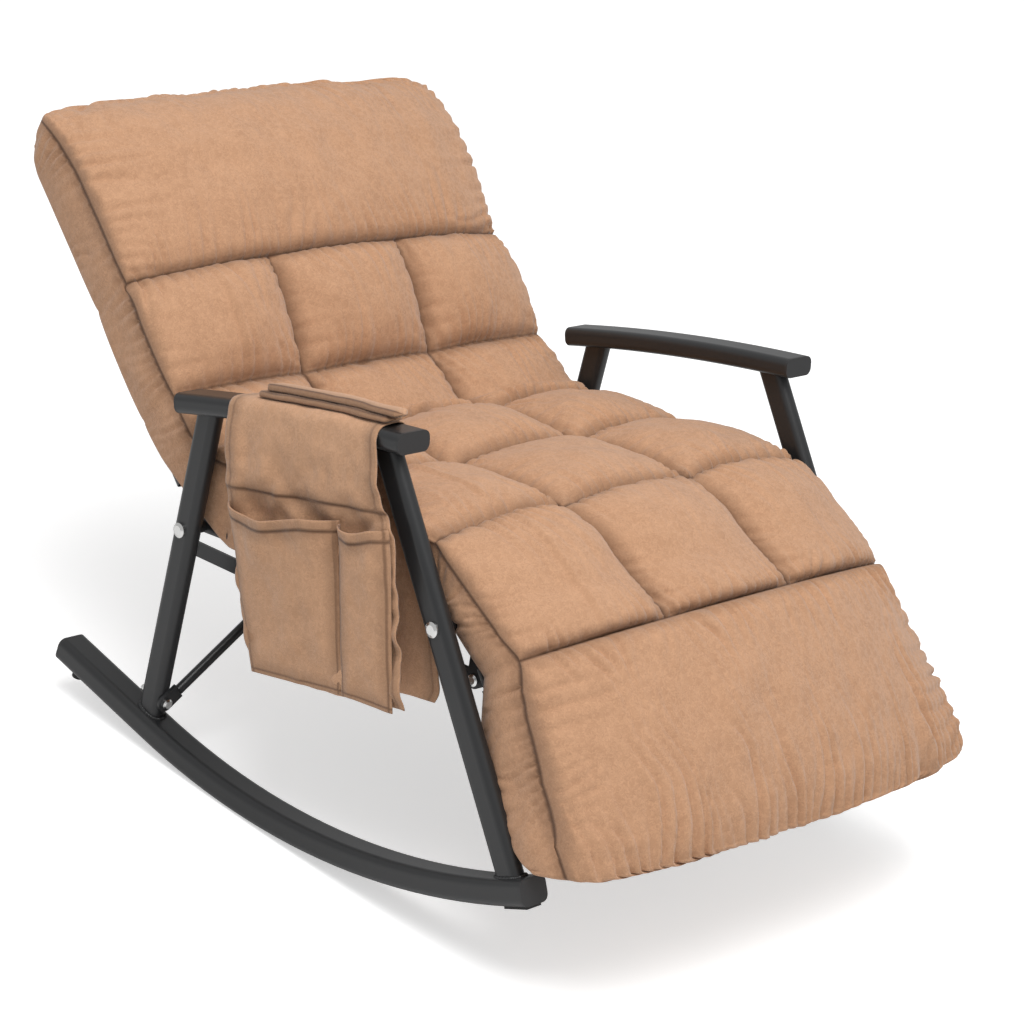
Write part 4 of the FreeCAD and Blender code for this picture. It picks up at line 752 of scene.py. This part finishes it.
def build_placket():
    """Two folded bands that close the bag along the top of the armrest.

    A band is a flat rounded section carried along the armrest, swaying and drawn in at its
    ends, and lowered with the armrest's arch.
    """
    bands = []
    for name, low, height, left, right, rear, front, seed in (
        ("bag_placket_low", 522.6, 8.0, -345, -317, -100, -309, 5),
        ("bag_placket_high", 530.4, 8.5, -342, -321, -112, -322, 6),
    ):
        along = np.linspace(0, 1, 90)[:, None]
        turn = np.linspace(0, 2 * math.pi, 28, endpoint=False)[None, :]
        y = rear + (front - rear) * along + 0 * turn
        flat_x = np.sign(np.cos(turn)) * np.abs(np.cos(turn)) ** 0.35
        flat_z = np.sign(np.sin(turn)) * np.abs(np.sin(turn)) ** 0.75
        end = np.clip(np.minimum(along, 1 - along) * 40, 0, 1) ** 0.5
        sway = 1.8 * lattice_noise(along * 6, 0 * along, seed)
        x = (left + right) / 2 + flat_x * (right - left) / 2 * end + sway
        z = low + height / 2 + flat_z * height / 2 * end * 0.96
        z = z - armrest_drop(y)
        z = z + 0.7 * lattice_noise(y / 22, x / 13, seed + 3) * (flat_z > 0)
        points = np.stack([x, y, z], axis=-1)
        rows, columns = x.shape
        faces = grid_faces(rows, columns, wrap=True)
        faces.append(tuple(range(columns))[::-1])
        faces.append(tuple(range((rows - 1) * columns, rows * columns)))
        obj = new_mesh_object(name, rocked(points.reshape(-1, 3)), faces)
        # Distance to a line near the band's outer side: a thread line there, and painted shade that darkens
        # the band towards its outer side
        set_weight(obj, "seam_mm", np.abs(np.broadcast_to(flat_x, x.shape).ravel() + 0.8) * 14)
        set_weight(obj, "edge_mm", np.full(rows * columns, FAR))
        assign(obj, bag_cloth)
        bands.append(obj)
    return bands


# Welds: points round a leg and round the bead's own section

WELD_STEPS = 120
WELD_SECTION = 10


def weld_bead(name, foot, head, centre, radius, seed):
    """A rippled bead where a leg meets a round face of the side plane.

    The leg's flat-oval outline is slid along the leg until it reaches a circle about centre,
    in the side plane, and a small round section with a ripple is carried along it.
    """
    foot, head = np.asarray(foot, float), np.asarray(head, float)
    run = (head - foot) / np.hypot(*(head - foot))
    across = np.array([-run[1], run[0]])
    turn = np.linspace(0, 2 * math.pi, WELD_STEPS, endpoint=False)
    deep = np.sign(np.cos(turn)) * np.abs(np.cos(turn)) ** 0.8 * 17.6
    wide = np.sign(np.sin(turn)) * np.abs(np.sin(turn)) ** 0.55 * 10.4
    start = foot + deep[:, None] * across - np.asarray(centre)
    b = start @ run
    c = (start**2).sum(axis=1) - radius**2
    slide = -b - np.sqrt(b**2 - c)
    slide = np.where(np.abs(-b + np.sqrt(b**2 - c)) < np.abs(slide), -b + np.sqrt(b**2 - c), slide)
    path = start + np.asarray(centre) + slide[:, None] * run
    line = np.concatenate([wide[:, None], path], axis=1)
    outward = np.stack([wide, *(deep[:, None] * across).T], axis=-1)
    outward /= np.linalg.norm(outward, axis=1)[:, None]
    lift = np.array([0.0, *run])
    size = 2.3 + 0.45 * np.cos(turn * 34) + 0.25 * lattice_noise(turn * 3, 0 * turn, seed)
    section = np.linspace(0, 2 * math.pi, WELD_SECTION, endpoint=False)
    ring = (
        line[:, None, :]
        + size[:, None, None] * np.cos(section)[None, :, None] * outward[:, None, :]
        + size[:, None, None] * np.sin(section)[None, :, None] * lift[None, None, :]
    )
    i, j = np.meshgrid(np.arange(WELD_STEPS), np.arange(WELD_SECTION), indexing="ij")
    k, m = (i + 1) % WELD_STEPS, (j + 1) % WELD_SECTION
    corners = ((i, j), (k, j), (k, m), (i, m))
    quads = np.stack([a * WELD_SECTION + b for a, b in corners], axis=-1).reshape(-1, 4)
    places = [ring.reshape(-1, 3) + (side, 0, 0) for side in (-SIDE_PLANE, SIDE_PLANE)]
    faces = np.concatenate([quads, quads + WELD_STEPS * WELD_SECTION]).tolist()
    obj = new_mesh_object(name, rocked(np.concatenate(places)), faces)
    fix_normals(obj)
    assign(obj, coat)
    return obj


def fix_normals(obj):
    mesh = bmesh.new()
    mesh.from_mesh(obj.data)
    bmesh.ops.recalc_face_normals(mesh, faces=mesh.faces)
    mesh.to_mesh(obj.data)
    mesh.free()


# Materials


def principled(material):
    return material.node_tree.nodes["Principled BSDF"]


def new_material(name, colour, roughness, metallic=0.0):
    material = bpy.data.materials.new(name)
    material.use_nodes = True
    shader = principled(material)
    shader.inputs["Base Color"].default_value = (*colour, 1)
    shader.inputs["Roughness"].default_value = roughness
    shader.inputs["Metallic"].default_value = metallic
    return material


def node(tree, kind, x, y, **settings):
    item = tree.nodes.new(kind)
    item.location = (x, y)
    for setting, number in settings.items():
        setattr(item, setting, number)
    return item


def map_range(tree, x, y, source, span, ends=(0.0, 1.0), kind="LINEAR"):
    """A Map Range node from span to ends, fed by source; its output."""
    item = node(tree, "ShaderNodeMapRange", x, y, interpolation_type=kind)
    item.inputs["From Min"].default_value, item.inputs["From Max"].default_value = span
    item.inputs["To Min"].default_value, item.inputs["To Max"].default_value = ends
    tree.links.new(source, item.inputs["Value"])
    return item.outputs["Result"]


def mix_colours(tree, x, y, factor, first, second):
    """A colour Mix node fed by three outputs; its output."""
    item = node(tree, "ShaderNodeMix", x, y, data_type="RGBA")
    tree.links.new(factor, item.inputs["Factor"])
    tree.links.new(first, item.inputs[6])
    tree.links.new(second, item.inputs[7])
    return item.outputs[2]


def suede_group():
    """Brushed microfibre: a blotchy nap, pale veins, painted shade beside the seams and dark seam lines.

    The nap is the sum of a wide and a fine noise. The veins are the edges of warped cells.
    Painted shade darkens the colour towards a darker brown within 20 mm of the nearest seam,
    and a dark thread line runs along the seam; both follow the distance to the nearest seam,
    which the mesh holds in its attributes seam_mm and edge_mm. The relief is half the cell
    edges plus the fine noise.
    """
    group = bpy.data.node_groups.new("brushed_suede", "ShaderNodeTree")
    for name in ("Light", "Dark", "Vein", "Painted Shade", "Seam"):
        group.interface.new_socket(name, in_out="INPUT", socket_type="NodeSocketColor")
    group.interface.new_socket("Color", in_out="OUTPUT", socket_type="NodeSocketColor")
    group.interface.new_socket("Normal", in_out="OUTPUT", socket_type="NodeSocketVector")
    links = group.links
    given = node(group, "NodeGroupInput", -800, 350).outputs
    result = node(group, "NodeGroupOutput", 200, 0).inputs
    place = node(group, "ShaderNodeTexCoord", -1500, 0)

    blotch = node(group, "ShaderNodeTexNoise", -1200, 300)
    blotch.inputs["Scale"].default_value = 34
    blotch.inputs["Detail"].default_value = 5
    blotch.inputs["Roughness"].default_value = 0.62
    links.new(place.outputs["Object"], blotch.inputs["Vector"])
    fine = node(group, "ShaderNodeTexNoise", -1200, 0)
    fine.inputs["Scale"].default_value = 190
    fine.inputs["Detail"].default_value = 4
    fine.inputs["Distortion"].default_value = 1.4
    links.new(place.outputs["Object"], fine.inputs["Vector"])
    warp = node(group, "ShaderNodeVectorMath", -1380, -300, operation="MULTIPLY_ADD")
    warp.inputs[1].default_value = (0.02, 0.02, 0.02)
    links.new(fine.outputs["Color"], warp.inputs[0])
    links.new(place.outputs["Object"], warp.inputs[2])
    cells = node(group, "ShaderNodeTexVoronoi", -1200, -300, feature="DISTANCE_TO_EDGE")
    cells.inputs["Scale"].default_value = 88
    links.new(warp.outputs["Vector"], cells.inputs["Vector"])
    to_vein = cells.outputs["Distance"]

    nap = node(group, "ShaderNodeMath", -950, 200, operation="ADD")
    links.new(blotch.outputs["Fac"], nap.inputs[0])
    links.new(fine.outputs["Fac"], nap.inputs[1])
    spread = map_range(group, -780, 200, nap.outputs["Value"], (0.55, 1.45))
    brushed = mix_colours(group, -560, 200, spread, given["Dark"], given["Light"])
    vein = map_range(group, -1000, -480, to_vein, (0.0, 0.15), (0.5, 0.0))
    veined = mix_colours(group, -380, 60, vein, brushed, given["Vein"])

    seam = node(group, "ShaderNodeAttribute", -1000, 520, attribute_name="seam_mm")
    edge = node(group, "ShaderNodeAttribute", -1000, 700, attribute_name="edge_mm")
    nearest = node(group, "ShaderNodeMath", -800, 600, operation="MINIMUM")
    links.new(seam.outputs["Fac"], nearest.inputs[0])
    links.new(edge.outputs["Fac"], nearest.inputs[1])
    to_seam = nearest.outputs["Value"]
    # Painted shade: within 20 mm of a seam the colour is mixed towards a darker brown, up to 45 per cent at
    # the seam
    painted_shade = map_range(group, -620, 800, to_seam, (0.0, 20.0), (0.45, 0.0), "SMOOTHSTEP")
    shaded_colour = mix_colours(group, -200, 60, painted_shade, veined, given["Painted Shade"])
    thread = map_range(group, -620, 560, to_seam, (0.5, 3.2))
    links.new(mix_colours(group, -20, 300, thread, given["Seam"], shaded_colour), result["Color"])

    relief = node(group, "ShaderNodeMath", -800, -150, operation="MULTIPLY_ADD")
    relief.inputs[1].default_value = 0.5
    links.new(map_range(group, -1000, -300, to_vein, (0.0, 0.12)), relief.inputs[0])
    links.new(fine.outputs["Fac"], relief.inputs[2])
    bump = node(group, "ShaderNodeBump", -300, -200)
    bump.inputs["Strength"].default_value = 0.5
    bump.inputs["Distance"].default_value = 0.0010
    links.new(relief.outputs["Value"], bump.inputs["Height"])
    links.new(bump.outputs["Normal"], result["Normal"])
    return group


def suede_material(name, group, light, dark):
    """A suede of two browns; its veins, its painted shade beside seams and its seam threads follow from
    them.
    """
    material = new_material(name, light, 0.86)
    tree = material.node_tree
    shader = principled(material)
    shader.inputs["Sheen Weight"].default_value = 0.25
    shader.inputs["Sheen Roughness"].default_value = 0.45
    shader.inputs["Specular IOR Level"].default_value = 0.25
    effect = node(tree, "ShaderNodeGroup", -300, 0, node_tree=group)
    colours = {
        "Light": light,
        "Dark": dark,
        "Vein": [VEIN_GAIN * c for c in light],
        # painted shade beside seams: the dark brown made darker still
        "Painted Shade": [PAINTED_SHADE_GAIN * c for c in dark],
        "Seam": SEAM_THREAD,
    }
    for socket, colour in colours.items():
        effect.inputs[socket].default_value = (*colour, 1)
    tree.links.new(effect.outputs["Color"], shader.inputs["Base Color"])
    tree.links.new(effect.outputs["Normal"], shader.inputs["Normal"])
    return material


def coat_material():
    """Satin black powder coat with a very fine grain."""
    material = new_material("black_powder_coat", (0.017, 0.0175, 0.0185), 0.34)
    tree = material.node_tree
    shader = principled(material)
    place = node(tree, "ShaderNodeTexCoord", -900, 0)
    grain = node(tree, "ShaderNodeTexNoise", -700, 0)
    grain.inputs["Scale"].default_value = 900
    grain.inputs["Detail"].default_value = 2
    tree.links.new(place.outputs["Object"], grain.inputs["Vector"])
    bump = node(tree, "ShaderNodeBump", -400, -100)
    bump.inputs["Strength"].default_value = 0.25
    bump.inputs["Distance"].default_value = 0.0002
    tree.links.new(grain.outputs["Fac"], bump.inputs["Height"])
    tree.links.new(bump.outputs["Normal"], shader.inputs["Normal"])
    return material


SEAM_THREAD = (0.11, 0.055, 0.03)
VEIN_GAIN = 1.22
# How dark the painted shade beside seams is, as a share of the dark brown
PAINTED_SHADE_GAIN = 0.45

brushed_suede = suede_group()
suede = suede_material("quilt_suede", brushed_suede, (0.50, 0.283, 0.165), (0.37, 0.20, 0.112))
bag_cloth = suede_material("bag_suede", brushed_suede, (0.53, 0.305, 0.18), (0.41, 0.23, 0.13))
coat = coat_material()
bright = new_material("bright_fasteners", (0.72, 0.72, 0.71), 0.22, 1.0)
plug = new_material("end_plug_plastic", (0.02, 0.02, 0.021), 0.5)
rubber = new_material("floor_rubber", (0.018, 0.018, 0.018), 0.8)
webbing = new_material("sling_cloth", (0.03, 0.03, 0.031), 0.9)

FINISHES = {
    "black_powder_coat": coat,
    "bright_fasteners": bright,
    "end_plug_plastic": plug,
    "floor_rubber": rubber,
    "sling_cloth": webbing,
    "quilt_suede": suede,
    "bag_suede": bag_cloth,
}

# Each CAD node takes the finish that its material slot names
for part in frame["record"]["subparts"]:
    obj = bpy.data.objects.get(part["node"])
    finish = FINISHES[part["material_slot"]]
    for slot in obj.material_slots:
        slot.material = finish
    if not obj.material_slots:
        obj.data.materials.append(finish)

rear_quilt, front_quilt = build_quilt()
for piece in (rear_quilt, front_quilt):
    assign(piece, suede)
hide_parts("back_cushion", "head_roll", "lumbar_roll", "seat_cushion")
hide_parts("knee_roll", "leg_pad")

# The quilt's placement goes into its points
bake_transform(rear_quilt)
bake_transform(front_quilt)

saddle = build_saddle()
rear_pocket = build_pocket("bag_rear_pocket", -69, BAG_DIVIDER, 19, 9, 81)
front_pocket = build_pocket("bag_front_pocket", BAG_DIVIDER, -331, 7, 5, 91)
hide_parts("side_bag")
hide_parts("bag_pocket_rear")
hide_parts("bag_pocket_front")
bag = [saddle, rear_pocket, front_pocket, *build_placket()]

FRONT_FOOT, FRONT_HEAD = (-468.6, 66.0), (-295.4, 486.9)
REAR_FOOT, REAR_HEAD = (114.4, 99.0), (-5.8, 482.4)
RUNNER_TOP = 986.0 - 30.0
welds = [
    weld_bead("front_foot_welds", FRONT_FOOT, FRONT_HEAD, RUNNER_CENTRE, RUNNER_TOP, 31),
    weld_bead("rear_foot_welds", REAR_FOOT, REAR_HEAD, RUNNER_CENTRE, RUNNER_TOP, 32),
]
for piece in bag + welds:
    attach(piece, "base")

for name, hold in (
    ("seat_sling", ["seat_rail_left", "seat_rail_right"]),
    ("back_sling", ["back_frame"]),
    ("leg_rest_sling", ["leg_rest_frame"]),
):
    sling = bpy.data.objects[name]
    areas = np.empty(len(sling.data.polygons))
    sling.data.polygons.foreach_get("area", areas)
    places = np.empty(3 * len(sling.data.vertices))
    sling.data.vertices.foreach_get("co", places)


# Floor, lights and camera


def add_floor():
    """A wide pale floor that looks white to the camera and keeps the chair's shadow."""
    size = 12.0
    verts = [(-size, -size, 0), (size, -size, 0), (size, size, 0), (-size, size, 0)]
    floor = new_mesh_object("studio_floor", verts, [(0, 1, 2, 3)])
    material = new_material("pale_floor", (0.82, 0.82, 0.82), 0.95)
    tree = material.node_tree
    shader = principled(material)
    shader.inputs["Emission Color"].default_value = (1, 1, 1, 1)
    rays = node(tree, "ShaderNodeLightPath", -600, -200)
    glow = node(tree, "ShaderNodeMath", -400, -200, operation="MULTIPLY")
    glow.inputs[1].default_value = 0.5
    tree.links.new(rays.outputs["Is Camera Ray"], glow.inputs[0])
    tree.links.new(glow.outputs["Value"], shader.inputs["Emission Strength"])
    assign(floor, material)


def add_area(name, location, target, size, power):
    """A square lamp that faces target."""
    data = bpy.data.lights.new(name, "AREA")
    data.size = size
    data.energy = power
    light = bpy.data.objects.new(name, data)
    bpy.context.scene.collection.objects.link(light)
    direction = Vector(location) - Vector(target)
    light.location = location
    light.rotation_euler = direction.to_track_quat("Z", "Y").to_euler()


def add_world():
    """Even grey light on the object, and plain white behind it."""
    world = bpy.data.worlds.new("studio")
    world.use_nodes = True
    tree = world.node_tree
    soft = tree.nodes["Background"]
    soft.inputs["Color"].default_value = (1, 1, 1, 1)
    soft.inputs["Strength"].default_value = 0.56
    white = node(tree, "ShaderNodeBackground", 0, -200)
    white.inputs["Strength"].default_value = 1.0
    rays = node(tree, "ShaderNodeLightPath", -200, 200)
    choose = node(tree, "ShaderNodeMixShader", 250, 0)
    tree.links.new(rays.outputs["Is Camera Ray"], choose.inputs[0])
    tree.links.new(soft.outputs[0], choose.inputs[1])
    tree.links.new(white.outputs[0], choose.inputs[2])
    tree.links.new(choose.outputs[0], tree.nodes["World Output"].inputs[0])
    bpy.context.scene.world = world


def add_camera():
    """The photograph's camera: solved with level armrests, and rocked back with the chair."""
    azimuth, elevation = math.radians(-46.69), math.radians(12.25)
    back = np.array(
        [
            math.sin(azimuth) * math.cos(elevation),
            -math.cos(azimuth) * math.cos(elevation),
            math.sin(elevation),
        ]
    )
    right = np.array([math.cos(azimuth), math.sin(azimuth), 0.0])
    up = np.cross(back, right)
    place = np.array([-2664.0, -2678.0, 1142.0])
    turned = []
    for axis in (right, up, back):
        turned.append((rocked(place + axis) - rocked(place)) * 1000)
    matrix = Matrix.Identity(4)
    for column, axis in enumerate(turned):
        for row in range(3):
            matrix[row][column] = axis[row]
    for row, number in enumerate(rocked(place)):
        matrix[row][3] = number
    data = bpy.data.cameras.new("photo_camera")
    data.lens = 111.06
    data.sensor_width = 36
    camera = bpy.data.objects.new("photo_camera", data)
    bpy.context.scene.collection.objects.link(camera)
    camera.matrix_world = matrix
    bpy.context.scene.camera = camera


add_floor()
add_world()
add_area("key_light", (-0.9, -0.9, 3.5), (0, -0.05, 0.4), 2.2, 100)
add_area("fill_light", (0.6, -3.4, 1.5), (0, 0, 0.3), 1.4, 8)
add_camera()
bpy.context.scene.view_settings.view_transform = "Standard"

bpy.context.view_layer.update()
